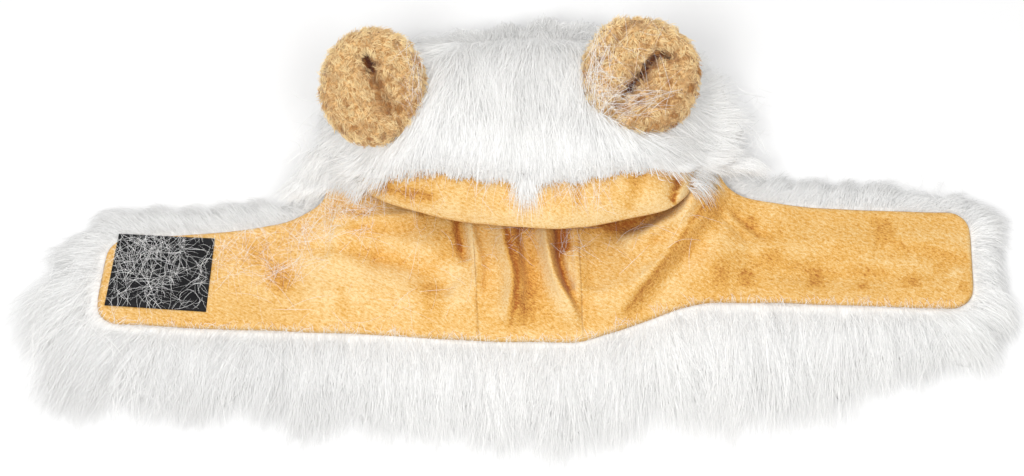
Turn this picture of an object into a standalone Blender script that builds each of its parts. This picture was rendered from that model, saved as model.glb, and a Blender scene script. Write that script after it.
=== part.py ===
"""Lion mane wig for a cat or a small dog, lying open on its fur with the lining up.

The wig is a hood with two straps. Its outside is long pile fur cloth, its inside tan velour.
A band of lining (left wing, centre gusset, right wing) lies on the band's fur. The crown is a
low dome whose hem sits on the band all round, apart from the raised mouth at the front, so a
hollow stays between them for the head. Hook tape on the left strap meets loop tape under the right.

Sizes are in millimetres, X to the right, Y away from the mouth, Z up from the surface below.
"""

import math
import random

import bpy
import numpy as np

MM = 0.001
GAP = 0.3

# The band of lining, seen from above
LEFT_END = -170.0
RIGHT_END = 191.0
CORNER_RADIUS = 10.0
LEFT_END_LEAN = 0.13
LEAN_PIVOT_Y = -26.0
LEAN_FADE = 50.0
SEAM_LEFT_X, SEAM_LEFT_LEAN = -15.0, -0.06
SEAM_RIGHT_X, SEAM_RIGHT_LEAN = 28.5, -0.03
SEAM_PIVOT_Y = -30.0

# Station along the band, front edge and back edge; past the wings the back edge runs under the crown
BAND_ROWS = (
    # x, front, back
    (-170.0, -46.0, -7.0),
    (-125.0, -48.5, -5.0),
    (-97.0, -49.5, -1.0),
    (-84.0, -50.0, 4.0),
    (-77.5, -50.3, 9.0),
    (-74.0, -50.5, 22.0),
    (-71.0, -50.6, 48.0),
    (-58.0, -51.0, 68.0),
    (0.0, -54.5, 79.0),
    (24.0, -54.5, 79.0),
    (40.0, -50.5, 78.0),
    (55.0, -45.0, 76.0),
    (72.0, -38.6, 64.0),
    (81.5, -36.9, 44.0),
    (86.5, -36.8, 24.0),
    (91.0, -36.8, 15.0),
    (98.0, -36.8, 11.3),
    (120.0, -37.3, 7.5),
    (150.0, -38.2, 5.5),
    (191.0, -39.6, 4.5),
)

# Heights
FUR_CLOTH_TOP = 10.2
LINING_WALL = 2.5
LINING_TOP = FUR_CLOTH_TOP + GAP + LINING_WALL
EDGE_DROP = 1.6
WING_RISE = 4.0
WING_FROM, WING_TO = -96.0, 104.0
WING_SLOPE = 22.0
FRONT_SLOPE = 17.0
UNDER_CROWN_Y, UNDER_CROWN_SLOPE = 16.0, 20.0

# Shares of a panel's depth where its rows lie, from its front edge to its back edge
PANEL_ROWS = (0.0, 0.035, 0.13, 0.23, 0.33, 0.43, 0.53, 0.63, 0.73, 0.84, 0.965, 1.0)
CORNER_ANGLES = (0, 30, 60, 90)
DEEP_PANEL, PANEL_CROWDING = 60.0, 0.6

# Fold of the lining: the points it runs through, its height, and its width to the left and right
# of the way it runs; a negative height is a valley
FOLD_ROWS = (
    # name, points, height, left, right
    ("left wing ridge", ((-76, -9), (-52, -12), (-30, -19)), 1.8, 6.0, 5.0),
    ("left wing valley", ((-58, -17), (-40, -24), (-24, -33)), -2.2, 6.0, 6.0),
    ("left brow pucker", ((-74, 2), (-58, -1), (-38, 0)), 2.4, 4.0, 3.0),
    ("left seam crease", ((-21, 2), (-20, -9), (-19, -20)), -2.4, 2.4, 2.4),
    ("gusset left ridge", ((0, 2), (2.5, -17), (4.0, -32), (1.7, -49)), 4.6, 3.4, 8.0),
    ("gusset right ridge", ((14, 2), (15.5, -18), (20, -36), (27, -50)), 5.0, 4.0, 4.4),
    ("right seam ridge", ((25.5, -3), (26.3, -20), (28.0, -38)), 2.6, 4.0, 2.0),
    ("mouth rim fold", ((76, 17), (72, 2), (59, -7), (44, -12)), 4.6, 8.0, 4.0),
    ("long right ridge", ((86, 14), (74, -3), (58, -26), (40, -47)), 5.0, 4.5, 12.0),
    ("right strap ripple", ((98, -15), (140, -10), (188, -12)), 0.9, 6.0, 6.0),
    ("right strap dip", ((105, -25), (150, -26), (184, -22)), -0.7, 5.0, 5.0),
)
HOLLOW_X, HOLLOW_Y, HOLLOW_DEPTH, HOLLOW_RADIUS = 49.0, -3.0, 3.0, 8.0
# A fold is followed in this many steps, and it rises over the first and last few of them
FOLD_STEPS, FOLD_RISE_STEPS, FOLD_END_SHARE = 28, 6.0, 0.25
# Share of a fold's height that is left at the band's front edge
FOLD_AT_EDGE = 0.3

# The crown, a dome: outline point by point, with how far its edge stands above its seat
CROWN_ROWS = (
    # name, x, y, stand
    ("mouth middle", 10.0, -14.0, 14.0),
    ("mouth right", 46.0, -8.5, 11.5),
    ("mouth far right", 66.5, -2.5, 6.0),
    ("right corner", 77.0, 14.0, 0.4),
    ("right side", 84.0, 40.0, 0.0),
    ("right back", 70.0, 67.0, 0.0),
    ("back right", 34.0, 79.0, 0.0),
    ("back middle", 0.0, 81.0, 0.0),
    ("left back", -52.0, 70.0, 0.0),
    ("left side", -72.0, 42.0, 0.5),
    ("left corner", -63.0, 14.0, 0.6),
    ("mouth left", -43.0, -2.0, 8.5),
)
CROWN_CENTRE = (5.0, 36.0)
CROWN_SPINE = 0.30
CROWN_TOP = 44.0
CROWN_POWER = 2.8
CROWN_WALL = 2.0
CROWN_SEAT = 1.3
BROW_INNER = 0.60
BROW_OUTER = 1.0
BROW_THICKNESS = 5.5
MOUTH_STAND = 6.0
# The share of the hem, to either side, over which the raised lip evens out the folds below it
LIP_EVENING = 0.035
CROWN_UNDER_RINGS = (0.25, 0.6, 0.8, 0.93)
CROWN_RINGS = (0.25, 0.45, 0.6, 0.65, 0.72, 0.8, 0.88, 0.95)
LIP_SHARE, NOSE_RISE, NOSE_DROP = 0.985, 0.25, 0.5

# Fur: the pile on the crown's top and the locks round both pieces of fur cloth
PILE_HEIGHT = 19.0
RIDGE_HEIGHT = 1.8
STEPS_PER_LOCK = 4
BAND_LOCKS = 60
CROWN_LOCKS = 26
# Length, height and sideways pull of the four steps over one lock, from valley to valley
LOCK_STEPS = (
    # length, height, pull
    (0.62, -1.0, 0.0),
    (0.86, 0.2, 0.45),
    (1.00, 1.0, 0.0),
    (0.86, 0.2, -0.45),
)
# Neighbouring locks lean together in clumps: swing in degrees, clumps round the ring
LOCK_CLUMPS = ((6.0, 9), (4.0, 17))
LOCK_TURN = 2.5
LOCK_STRETCH = 0.16
LOCK_SEEDS = {"band": 11, "crown": 23}
# The band's fur starts this far outside the lining's edge
BAND_SEAT_OUT, BAND_ROOT_OUT = 0.9, 2.6
# Rings over the band's locks, from root to tip
BAND_LOCK_RINGS = (
    # share of the length, share of the crest, share of the relief
    (0.0, 1.0, 0.4),
    (0.4, 0.92, 1.0),
    (0.75, 0.58, 1.0),
)
BAND_TIP_HEIGHT, BAND_UNDER_SHARE = 1.4, 0.8
# Rings of the crown's fur: under it, over its locks from below the tip to the root, and its top
FUR_UNDER_RINGS = (0.25, 0.45, 0.62, 0.8, 0.91, 1.0)
SWELL_REACH = (0.0, 0.04, 0.08)
CROWN_LOCK_RINGS = (
    # share of the length, lift, share of the relief
    (0.55, 1.8, 0.5),
    (1.0, 4.6, 0.4),
    (0.72, 8.6, 1.0),
    (0.3, 11.7, 1.0),
)
FUR_TOP_RINGS = (
    # share of the radius, pile, share of the relief, share of the brow's swell
    (1.0, 14.0, 0.9, 0.6),
    (0.8, 17.0, 0.8, 0.0),
    (0.45, 19.0, 0.5, 0.0),
)
LOCK_DROP_HEIGHT = 12.0
# Zones round the band: where the zone lies, the way its hair points, hair length and crest height
BAND_FUR_ROWS = (
    # name, x, y, heading in degrees, length, crest
    ("left front corner", -166.0, -46.0, 222.0, 46.0, 11.5),
    ("left strap front", -135.0, -48.0, 252.0, 52.0, 11.0),
    ("left wing front", -70.0, -50.5, 266.0, 50.0, 10.5),
    ("gusset front", 5.0, -54.5, 270.0, 54.0, 10.0),
    ("right wing front", 60.0, -43.0, 272.0, 62.0, 10.5),
    ("right strap front", 120.0, -37.3, 276.0, 58.0, 11.0),
    ("right strap end front", 172.0, -39.0, 293.0, 34.0, 11.0),
    ("right end", 191.0, -18.0, 352.0, 17.0, 10.5),
    ("right end back", 184.0, 4.5, 50.0, 15.0, 10.5),
    ("right strap back", 150.0, 5.5, 72.0, 16.0, 11.0),
    ("right notch", 104.0, 9.5, 52.0, 20.0, 10.5),
    ("crown right", 88.0, 26.0, 22.0, 17.0, 8.5),
    ("crown right back", 66.0, 68.0, 52.0, 16.0, 8.5),
    ("crown back", 5.0, 79.0, 90.0, 12.0, 8.5),
    ("crown left back", -58.0, 68.0, 135.0, 11.0, 8.5),
    ("crown left", -77.0, 26.0, 158.0, 9.0, 8.5),
    ("left notch", -92.0, 2.0, 118.0, 15.0, 10.5),
    ("left strap back", -130.0, -5.0, 108.0, 17.0, 11.0),
    ("left end back", -164.0, -8.0, 148.0, 26.0, 11.0),
    ("left end", -170.0, -26.0, 190.0, 38.0, 11.5),
)
# Zones round the crown: the way the hair points, its length past the fur line, and the share of
# the dome's radius where the fur line runs
CROWN_FUR_ROWS = (
    # name, x, y, heading, length, fur line
    ("brow middle", 10.0, -14.0, 270.0, 6.0, 0.63),
    ("brow right", 46.0, -8.5, 285.0, 6.0, 0.63),
    ("brow far right", 66.5, -2.5, 300.0, 7.0, 0.66),
    ("right corner", 78.0, 20.0, 0.0, 30.0, 0.95),
    ("right side", 84.0, 42.0, 16.0, 26.0, 1.0),
    ("right back", 70.0, 67.0, 42.0, 15.0, 1.0),
    ("back middle", 0.0, 81.0, 92.0, 11.0, 1.0),
    ("left back", -52.0, 70.0, 132.0, 10.0, 1.0),
    ("left side", -73.0, 42.0, 188.0, 13.0, 1.0),
    ("left corner", -66.0, 18.0, 212.0, 22.0, 0.95),
    ("brow left", -43.0, -4.0, 250.0, 7.0, 0.65),
)

# Ears: where the middle is, size, tilt back from upright, and the crease's heading on the face
EAR_ROWS = {
    # x, y, z, width, height, tilt, crease heading, side the crease is set off to
    "ear_left": (-57.0, 38.5, 60.0, 43.0, 48.0, 63.0, -62.0, -1.0),
    "ear_right": (52.5, 43.0, 60.5, 49.0, 48.0, 63.0, 232.0, 1.0),
}
EAR_THICKNESS = 17.0
EAR_STEPS = 24
# Rings of an ear from its crease out over the face, round the edge and in under the back:
# share of the crease ellipse that the ring keeps, share of the outline, height share
EAR_RINGS = (
    # crease share, outline share, height
    (0.55, 0.00, -0.30),
    (1.00, 0.02, 0.05),
    (0.95, 0.18, 0.44),
    (0.40, 0.60, 0.56),
    (0.08, 0.93, 0.30),
    (0.00, 1.00, 0.00),
    (0.00, 0.86, -0.32),
    (0.00, 0.45, -0.44),
)
CREASE_LENGTH, CREASE_WIDTH, CREASE_UP = 24.0, 3.6, 2.0
CREASE_MEAN_SHARE, CREASE_SPREAD = 0.55, 2.2
EAR_BASE_FLAT = 0.06
NEST_FIRST_RING = 3

# Hook and loop tape
TAPE_THICKNESS = 1.6
HOOK_CORNERS = ((-163.5, -6.4), (-123.5, -8.6), (-126.0, -42.0), (-168.0, -39.0))
LOOP_CORNERS = ((141.0, -33.5), (181.0, -34.5), (181.0, -2.5), (141.0, -1.5))
LOOP_BOTTOM = 0.6
RECESS_SIDE = 0.5

MATERIALS = {
    # name: (red, green, blue), roughness
    "velour": ((0.84, 0.50, 0.14), 0.85),
    "plush": ((0.70, 0.42, 0.15), 0.90),
    "fur": ((0.90, 0.89, 0.87), 0.75),
    "hook_tape": ((0.03, 0.03, 0.032), 0.70),
    "loop_tape": ((0.04, 0.04, 0.042), 0.85),
}


def smooth(at, stations, values):
    """A cubic through the table's points, flat past its ends, that never overshoots them."""
    stations, values = np.asarray(stations, float), np.asarray(values, float)
    slopes = np.diff(values) / np.diff(stations)
    tangents = np.zeros(len(values))
    product = slopes[:-1] * slopes[1:]
    total = np.where(np.abs(slopes[:-1] + slopes[1:]) < 1e-12, 1.0, slopes[:-1] + slopes[1:])
    tangents[1:-1] = np.where(product > 0, 2 * product / total, 0.0)
    at = np.clip(at, stations[0], stations[-1])
    i = np.clip(np.searchsorted(stations, at) - 1, 0, len(stations) - 2)
    span = stations[i + 1] - stations[i]
    t = (at - stations[i]) / span
    rest = 1 - t
    return (
        (1 + 2 * t) * rest**2 * values[i]
        + t * rest**2 * span * tangents[i]
        + t**2 * (3 - 2 * t) * values[i + 1]
        - t**2 * rest * span * tangents[i + 1]
    )


def ease(value):
    """0 below 0, 1 above 1, and an S between them."""
    t = np.clip(value, 0.0, 1.0)
    return t * t * (3 - 2 * t)


def line_through(points, steps):
    """Points spread evenly along a smooth line through a few points."""
    points = np.asarray(points, float)
    reach = np.r_[0.0, np.cumsum(np.linalg.norm(np.diff(points, axis=0), axis=1))]
    at = np.linspace(0.0, reach[-1], steps)
    return np.stack([smooth(at, reach, points[:, k]) for k in range(points.shape[1])], axis=1)


def ring_through(points, steps):
    """A closed smooth curve through a few points, by Catmull and Rom's rule, evenly spread."""
    points = np.asarray(points, float)
    before, after, beyond = (np.roll(points, shift, axis=0) for shift in (1, -1, -2))
    share = np.linspace(0.0, 1.0, 40, endpoint=False)[None, :, None]
    curve = 0.5 * (
        2 * points[:, None]
        + (after - before)[:, None] * share
        + (2 * before - 5 * points + 4 * after - beyond)[:, None] * share**2
        + (3 * points - before - 3 * after + beyond)[:, None] * share**3
    )
    return resample_ring(curve.reshape(-1, points.shape[1]), steps)


def resample_ring(points, steps):
    """The closed line again, with its points the same distance apart."""
    closed = np.vstack([points, points[:1]])
    reach = np.r_[0.0, np.cumsum(np.linalg.norm(np.diff(closed[:, :2], axis=0), axis=1))]
    at = np.linspace(0.0, reach[-1], steps, endpoint=False)
    return np.stack([np.interp(at, reach, closed[:, k]) for k in range(points.shape[1])], axis=1)


def along_ring(ring, rows, column):
    """A zone table's column spread round a ring: each row holds where its zone lies."""
    nearest = [int(np.argmin(np.hypot(ring[:, 0] - row[1], ring[:, 1] - row[2]))) for row in rows]
    values = [float(row[column]) for row in rows]
    order = np.argsort(nearest)
    stations = np.array(nearest, float)[order]
    values = np.array(values)[order]
    count = len(ring)
    stations = np.r_[stations[-1] - count, stations, stations[0] + count]
    values = np.r_[values[-1], values, values[0]]
    return np.interp(np.arange(count), stations, values)


def headings_along(ring, rows):
    """The unit vectors of a zone table's headings, turned smoothly round a ring."""
    across = along_ring(ring, [row[:3] + (math.cos(math.radians(row[3])),) for row in rows], 3)
    away = along_ring(ring, [row[:3] + (math.sin(math.radians(row[3])),) for row in rows], 3)
    length = np.hypot(across, away)
    return np.stack([across / length, away / length], axis=1)


BAND_X, BAND_FRONT, BAND_BACK = (np.array(column) for column in zip(*BAND_ROWS))


def corner_inset(x):
    """How far the band's edges draw in at its rounded corners."""
    from_end = np.minimum(x - LEFT_END, RIGHT_END - x)
    inside = np.clip(CORNER_RADIUS - from_end, 0.0, CORNER_RADIUS)
    return CORNER_RADIUS - np.sqrt(CORNER_RADIUS**2 - inside**2)


def front_edge(x):
    return smooth(x, BAND_X, BAND_FRONT) + corner_inset(x)


def back_edge(x):
    return smooth(x, BAND_X, BAND_BACK) - corner_inset(x)


def leaned(x, y):
    """The left end of the band is cut at a slant, so x shifts with y there."""
    near_end = np.clip((LEFT_END + LEAN_FADE - x) / LEAN_FADE, 0.0, 1.0)
    return x + LEFT_END_LEAN * (y - LEAN_PIVOT_Y) * near_end


def fold_height(x, y, points, height, left, right):
    """One fold's height over the places x, y: a ridge with its own width on either side."""
    line = line_through(points, FOLD_STEPS)
    away = np.stack([x[..., None] - line[:, 0], y[..., None] - line[:, 1]], axis=-1)
    distance = np.hypot(away[..., 0], away[..., 1])
    nearest = np.argmin(distance, axis=-1)
    heading = np.gradient(line, axis=0)[nearest]
    offset = np.take_along_axis(away, nearest[..., None, None], axis=-2)[..., 0, :]
    side = heading[..., 0] * offset[..., 1] - heading[..., 1] * offset[..., 0]
    width = np.where(side > 0, left, right)
    taper = ease(nearest / FOLD_RISE_STEPS + FOLD_END_SHARE)
    taper = taper * ease((FOLD_STEPS - 1 - nearest) / FOLD_RISE_STEPS + FOLD_END_SHARE)
    closest = np.take_along_axis(distance, nearest[..., None], axis=-1)[..., 0]
    return height * np.exp(-((closest / width) ** 2)) * taper


def lining_top(x, y):
    """Height of the band's lining, its folds included, over the places x, y."""
    x, y = np.asarray(x, float), np.asarray(y, float)
    wing = ease((x - WING_FROM) / WING_SLOPE) * ease((WING_TO - x) / WING_SLOPE)
    under_crown = 1 - ease((y - UNDER_CROWN_Y) / UNDER_CROWN_SLOPE)
    front = ease((y - smooth(x, BAND_X, BAND_FRONT)) / FRONT_SLOPE)
    relief = sum(fold_height(x, y, *row[1:]) for row in FOLD_ROWS)
    hollow = np.hypot(x - HOLLOW_X, y - HOLLOW_Y) / HOLLOW_RADIUS
    relief = relief - HOLLOW_DEPTH * np.exp(-(hollow**2))
    damped = relief * under_crown * (FOLD_AT_EDGE + (1 - FOLD_AT_EDGE) * front)
    raised = WING_RISE * wing * under_crown * front
    return LINING_TOP + raised + np.maximum(damped, -raised)


def closed_mesh(name, points, faces, material, smooth_angle=50.0):
    """An object from points in millimetres and its faces, with its normals outwards."""
    mesh = bpy.data.meshes.new(name)
    mesh.from_pydata([tuple(p) for p in np.asarray(points) * MM], [], faces)
    mesh.materials.append(material)
    mesh.validate()
    mesh.shade_smooth()
    mesh.set_sharp_from_angle(angle=math.radians(smooth_angle))
    obj = bpy.data.objects.new(name, mesh)
    bpy.context.scene.collection.objects.link(obj)
    return obj


def slab(name, top, bottom, material):
    """A closed wall between two grids of points that share their outline in plan."""
    rows, columns = top.shape[:2]
    count = rows * columns

    def at(row, column, layer):
        return layer * count + row * columns + column

    faces = []
    for r in range(rows - 1):
        for c in range(columns - 1):
            faces.append((at(r, c, 0), at(r, c + 1, 0), at(r + 1, c + 1, 0), at(r + 1, c, 0)))
            faces.append((at(r, c, 1), at(r + 1, c, 1), at(r + 1, c + 1, 1), at(r, c + 1, 1)))
    rim = [(0, c) for c in range(columns)]
    rim += [(r, columns - 1) for r in range(1, rows)]
    rim += [(rows - 1, c) for c in range(columns - 2, -1, -1)]
    rim += [(r, 0) for r in range(rows - 2, 0, -1)]
    for (r0, c0), (r1, c1) in zip(rim, rim[1:] + rim[:1]):
        faces.append((at(r0, c0, 0), at(r0, c0, 1), at(r1, c1, 1), at(r1, c1, 0)))
    points = np.vstack([top.reshape(-1, 3), bottom.reshape(-1, 3)])
    closed_mesh(name, points, faces, material)


def ring_shell(name, rings, material, first="flat", last="flat"):
    """A closed body from rings of points, each end shut by one flat face or a fan to its middle."""
    steps = len(rings[0])
    points = np.vstack(rings)
    faces = []
    for k in range(len(rings) - 1):
        for i in range(steps):
            j = (i + 1) % steps
            faces.append((k * steps + i, k * steps + j, (k + 1) * steps + j, (k + 1) * steps + i))
    start = list(range(steps))
    end = [(len(rings) - 1) * steps + i for i in range(steps)]
    for loop, kind in ((start[::-1], first), (end, last)):
        if kind == "flat":
            faces.append(tuple(loop))
            continue
        middle = points[loop].mean(axis=0)
        middle[2] = kind if isinstance(kind, float) else middle[2]
        points = np.vstack([points, middle])
        hub = len(points) - 1
        faces += [(loop[i], loop[(i + 1) % steps], hub) for i in range(steps)]
    return closed_mesh(name, points, faces, material)


def panel_grid(columns, row_shares, seam_from, seam_to):
    """Plan places of a lining panel: rows from front edge to back edge, columns along the band."""
    base_x = np.asarray(columns, float)[None, :]
    front, back = front_edge(base_x), back_edge(base_x)
    crowding = PANEL_CROWDING * ease((back - front) / DEEP_PANEL - 1)
    share = np.asarray(row_shares)[:, None]
    y = front + (back - front) * (share * (1 - crowding) + crowding * share**3)
    along = (base_x - base_x[0, 0]) / (base_x[0, -1] - base_x[0, 0])
    start = base_x[0, 0] + seam_from * (y - SEAM_PIVOT_Y)
    stop = base_x[0, -1] + seam_to * (y - SEAM_PIVOT_Y)
    x = start + (stop - start) * along
    return leaned(x, y), y


def lining_panel(name, columns, row_shares, seam_from, seam_to, material):
    """One panel of the band's lining: a velour wall that follows the folds."""
    x, y = panel_grid(columns, row_shares, seam_from, seam_to)
    height = lining_top(x, y)
    bottom = np.stack([x, y, height - LINING_WALL], axis=-1)
    edge = np.zeros(x.shape)
    edge[0, :] = edge[-1, :] = EDGE_DROP
    if seam_from == 0.0:
        edge[:, 0] = EDGE_DROP
    if seam_to == 0.0:
        edge[:, -1] = EDGE_DROP
    top = np.stack([x, y, height - edge], axis=-1)
    slab(name, top, bottom, material)


def lining(materials):
    """The band's three panels, with a small gap at each seam."""
    velour = materials["velour"]
    round_corner = CORNER_RADIUS * (1 - np.cos(np.radians(CORNER_ANGLES)))
    wing = np.linspace(-90, SEAM_LEFT_X - GAP / 2, 16)
    left = np.r_[LEFT_END + round_corner, np.linspace(-148, -98, 5), wing]
    lining_panel("lining_left", left, PANEL_ROWS, 0.0, SEAM_LEFT_LEAN, velour)
    centre = np.linspace(SEAM_LEFT_X + GAP / 2, SEAM_RIGHT_X - GAP / 2, 19)
    lining_panel("lining_centre", centre, PANEL_ROWS, SEAM_LEFT_LEAN, SEAM_RIGHT_LEAN, velour)
    wing = np.linspace(SEAM_RIGHT_X + GAP / 2, 98, 18)
    right = np.r_[wing, np.linspace(110, 168, 5), RIGHT_END - round_corner[::-1]]
    lining_panel("lining_right", right, PANEL_ROWS, SEAM_RIGHT_LEAN, 0.0, velour)


def band_outline(steps):
    """The band's outline in plan, a closed ring that starts at the left end's front corner."""
    x = np.linspace(LEFT_END, RIGHT_END, 1400)
    front = np.stack([x, front_edge(x)], axis=1)
    back = np.stack([x, back_edge(x)], axis=1)[::-1]
    ring = np.vstack([front, back])
    ring[:, 0] = leaned(ring[:, 0], ring[:, 1])
    return resample_ring(ring, steps)


def outward(ring):
    """The outward normals of a ring that runs anticlockwise in plan."""
    along = np.roll(ring, -1, axis=0) - np.roll(ring, 1, axis=0)
    normal = np.stack([along[:, 1], -along[:, 0]], axis=1)
    return normal / np.linalg.norm(normal, axis=1)[:, None]


def lock_shares(steps):
    """The length, height and pull of each step round a ring, from the table of one lock."""
    table = np.array(LOCK_STEPS)
    return table[np.arange(steps) % STEPS_PER_LOCK].T


def lock_jitter(steps, seed):
    """A turn in radians and a length factor for each lock, the same for the steps of one lock."""
    draw = random.Random(seed)
    locks = steps // STEPS_PER_LOCK
    round_ring = np.linspace(0.0, 2 * math.pi, locks, endpoint=False)
    clump = sum(
        math.radians(swing) * np.sin(count * round_ring + draw.uniform(0.0, 6.0))
        for swing, count in LOCK_CLUMPS
    )
    turns = clump + np.radians([draw.uniform(-LOCK_TURN, LOCK_TURN) for _ in range(locks)])
    lengths = [draw.uniform(1 - LOCK_STRETCH, 1 + LOCK_STRETCH) for _ in range(locks)]
    return np.repeat(turns, STEPS_PER_LOCK), np.repeat(lengths, STEPS_PER_LOCK)


def turned(vectors, angles):
    cos, sin = np.cos(angles), np.sin(angles)
    x, y = vectors[:, 0], vectors[:, 1]
    return np.stack([x * cos - y * sin, x * sin + y * cos], axis=1)


def lock_spine(start, headings, lengths, pull, share):
    """Places at a share of each lock's length, drawn together towards its middle at the tip."""
    spacing = np.linalg.norm(np.roll(start, -1, axis=0) - start, axis=1)[:, None]
    sideways = np.stack([-headings[:, 1], headings[:, 0]], axis=1)
    toward = sideways * np.sign(pull)[:, None] * np.abs(pull)[:, None] * spacing
    return start + headings * (lengths * share)[:, None] + toward * share**2


def fur_band(materials):
    """Fur cloth under the band, its pile in locks that lie out from every edge."""
    steps = BAND_LOCKS * STEPS_PER_LOCK
    outline = band_outline(steps)
    normals = outward(outline)
    headings = headings_along(outline, BAND_FUR_ROWS)
    lengths = along_ring(outline, BAND_FUR_ROWS, 4)
    crest = along_ring(outline, BAND_FUR_ROWS, 5)
    share, height, pull = lock_shares(steps)
    turn, stretch = lock_jitter(steps, LOCK_SEEDS["band"])
    headings = turned(headings, turn)
    lengths = lengths * share * stretch
    relief = RIDGE_HEIGHT * height
    root = outline + normals * BAND_ROOT_OUT
    rings = [np.c_[outline + normals * BAND_SEAT_OUT, np.full(steps, FUR_CLOTH_TOP)]]
    for length_share, crest_share, relief_share in BAND_LOCK_RINGS:
        plan = lock_spine(root, headings, lengths, pull, length_share)
        rings.append(np.c_[plan, crest * crest_share + relief * relief_share])
    tip = lock_spine(root, headings, lengths, pull, 1.0)
    rings.append(np.c_[tip, np.full(steps, BAND_TIP_HEIGHT)])
    rings.append(np.c_[lock_spine(root, headings, lengths, pull, BAND_UNDER_SHARE), np.zeros(steps)])
    rings.append(np.c_[outline, np.zeros(steps)])
    body = ring_shell("fur_band", rings[::-1], materials["fur"])
    recess_top = LOOP_BOTTOM + TAPE_THICKNESS + GAP
    cut(body, prism("loop_recess", LOOP_CORNERS, -1.0, recess_top, RECESS_SIDE))


def crown_outline(steps):
    """The crown's hem as a ring of x, y and z: on the band's lining, raised at the mouth."""
    ring = ring_through([row[1:] for row in CROWN_ROWS], steps)
    x, y, stand = ring.T
    stand = np.maximum(stand, 0.0)
    seat = lining_top(x, y)
    reach = int(steps * LIP_EVENING)
    level = np.mean([np.roll(seat, k) for k in range(-reach, reach + 1)], axis=0)
    return np.c_[x, y, seat + (level - seat) * ease(stand / MOUTH_STAND) + GAP + CROWN_WALL + stand]


def crown_surface(outline, share):
    """The dome at a share of its radius: 0 is the level line along its middle and 1 its hem."""
    share = np.broadcast_to(share, (len(outline),))[:, None]
    spread = share + (1 - share) * (CROWN_SPINE, 0.0)
    plan = CROWN_CENTRE + (outline[:, :2] - CROWN_CENTRE) * spread
    rise = 1 - share[:, 0] ** CROWN_POWER
    return np.c_[plan, outline[:, 2] + (CROWN_TOP - outline[:, 2]) * rise]


def mouth_share(outline):
    """1 along the mouth and 0 along the seated hem, by how far the hem stands off its seat."""
    stand = outline[:, 2] - lining_top(outline[:, 0], outline[:, 1]) - GAP - CROWN_WALL
    return ease(stand / MOUTH_STAND)


def brow_swell(outline, share):
    """How far the rolled brow hem stands above the dome, none away from the mouth."""
    share = np.broadcast_to(share, (len(outline),))
    middle, half = (BROW_INNER + BROW_OUTER) / 2, (BROW_OUTER - BROW_INNER) / 2
    across = np.clip(1 - ((share - middle) / half) ** 2, 0.0, 1.0)
    return BROW_THICKNESS * np.sqrt(across) * mouth_share(outline)


def lining_crown(materials):
    """The crown's lining, a velour dome with the rolled hem over the brow."""
    outline = crown_outline(CROWN_LOCKS * STEPS_PER_LOCK // 2)
    wall = np.array((0.0, 0.0, CROWN_WALL))
    under = [crown_surface(outline, share) - wall for share in CROWN_UNDER_RINGS]
    over = [crown_surface(outline, share) for share in CROWN_RINGS]
    for ring, share in zip(over, CROWN_RINGS):
        ring[:, 2] += brow_swell(outline, share)
    lip = crown_surface(outline, LIP_SHARE) - wall
    nose = crown_surface(outline, 1.0)
    nose[:, 2] += NOSE_RISE * BROW_THICKNESS * mouth_share(outline) - NOSE_DROP
    rings = under + [lip, nose] + over[::-1]
    ring_shell("lining_crown", rings, materials["velour"], CROWN_TOP - CROWN_WALL, CROWN_TOP)


def fur_crown(materials, nests):
    """Fur cloth over the crown: a thick pile that ends in locks over the brow, sides and back."""
    steps = CROWN_LOCKS * STEPS_PER_LOCK
    outline = crown_outline(steps)
    headings = headings_along(outline, CROWN_FUR_ROWS)
    lengths = along_ring(outline, CROWN_FUR_ROWS, 4)
    line = along_ring(outline, CROWN_FUR_ROWS, 5)
    share, height, pull = lock_shares(steps)
    turn, stretch = lock_jitter(steps, LOCK_SEEDS["crown"])
    headings = turned(headings, turn)
    lengths = lengths * share * stretch
    relief = RIDGE_HEIGHT * height
    rings = []
    for radius in FUR_UNDER_RINGS:
        edge = crown_surface(outline, radius * line)
        swell = [brow_swell(outline, radius * line + reach) for reach in SWELL_REACH]
        edge[:, 2] += np.max(swell, axis=0) + CROWN_SEAT
        rings.append(edge)
    drop = np.clip((edge[:, 2] - LINING_TOP) / LOCK_DROP_HEIGHT, 0.0, 1.0)
    for length_share, lift, relief_share in CROWN_LOCK_RINGS:
        plan = lock_spine(edge[:, :2], headings, lengths, pull, length_share)
        top = edge[:, 2] + lift + relief * relief_share - drop * length_share**2
        rings.append(np.c_[plan, top])
    for radius, pile, relief_share, swell_share in FUR_TOP_RINGS:
        place = crown_surface(outline, radius * line)
        place[:, 2] += pile + relief * relief_share + brow_swell(outline, line) * swell_share
        rings.append(place)
    body = ring_shell(
        "fur_crown", rings, materials["fur"], CROWN_TOP + CROWN_SEAT, CROWN_TOP + PILE_HEIGHT
    )
    for ear_nest in nests:
        cut(body, ear_nest)


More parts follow.
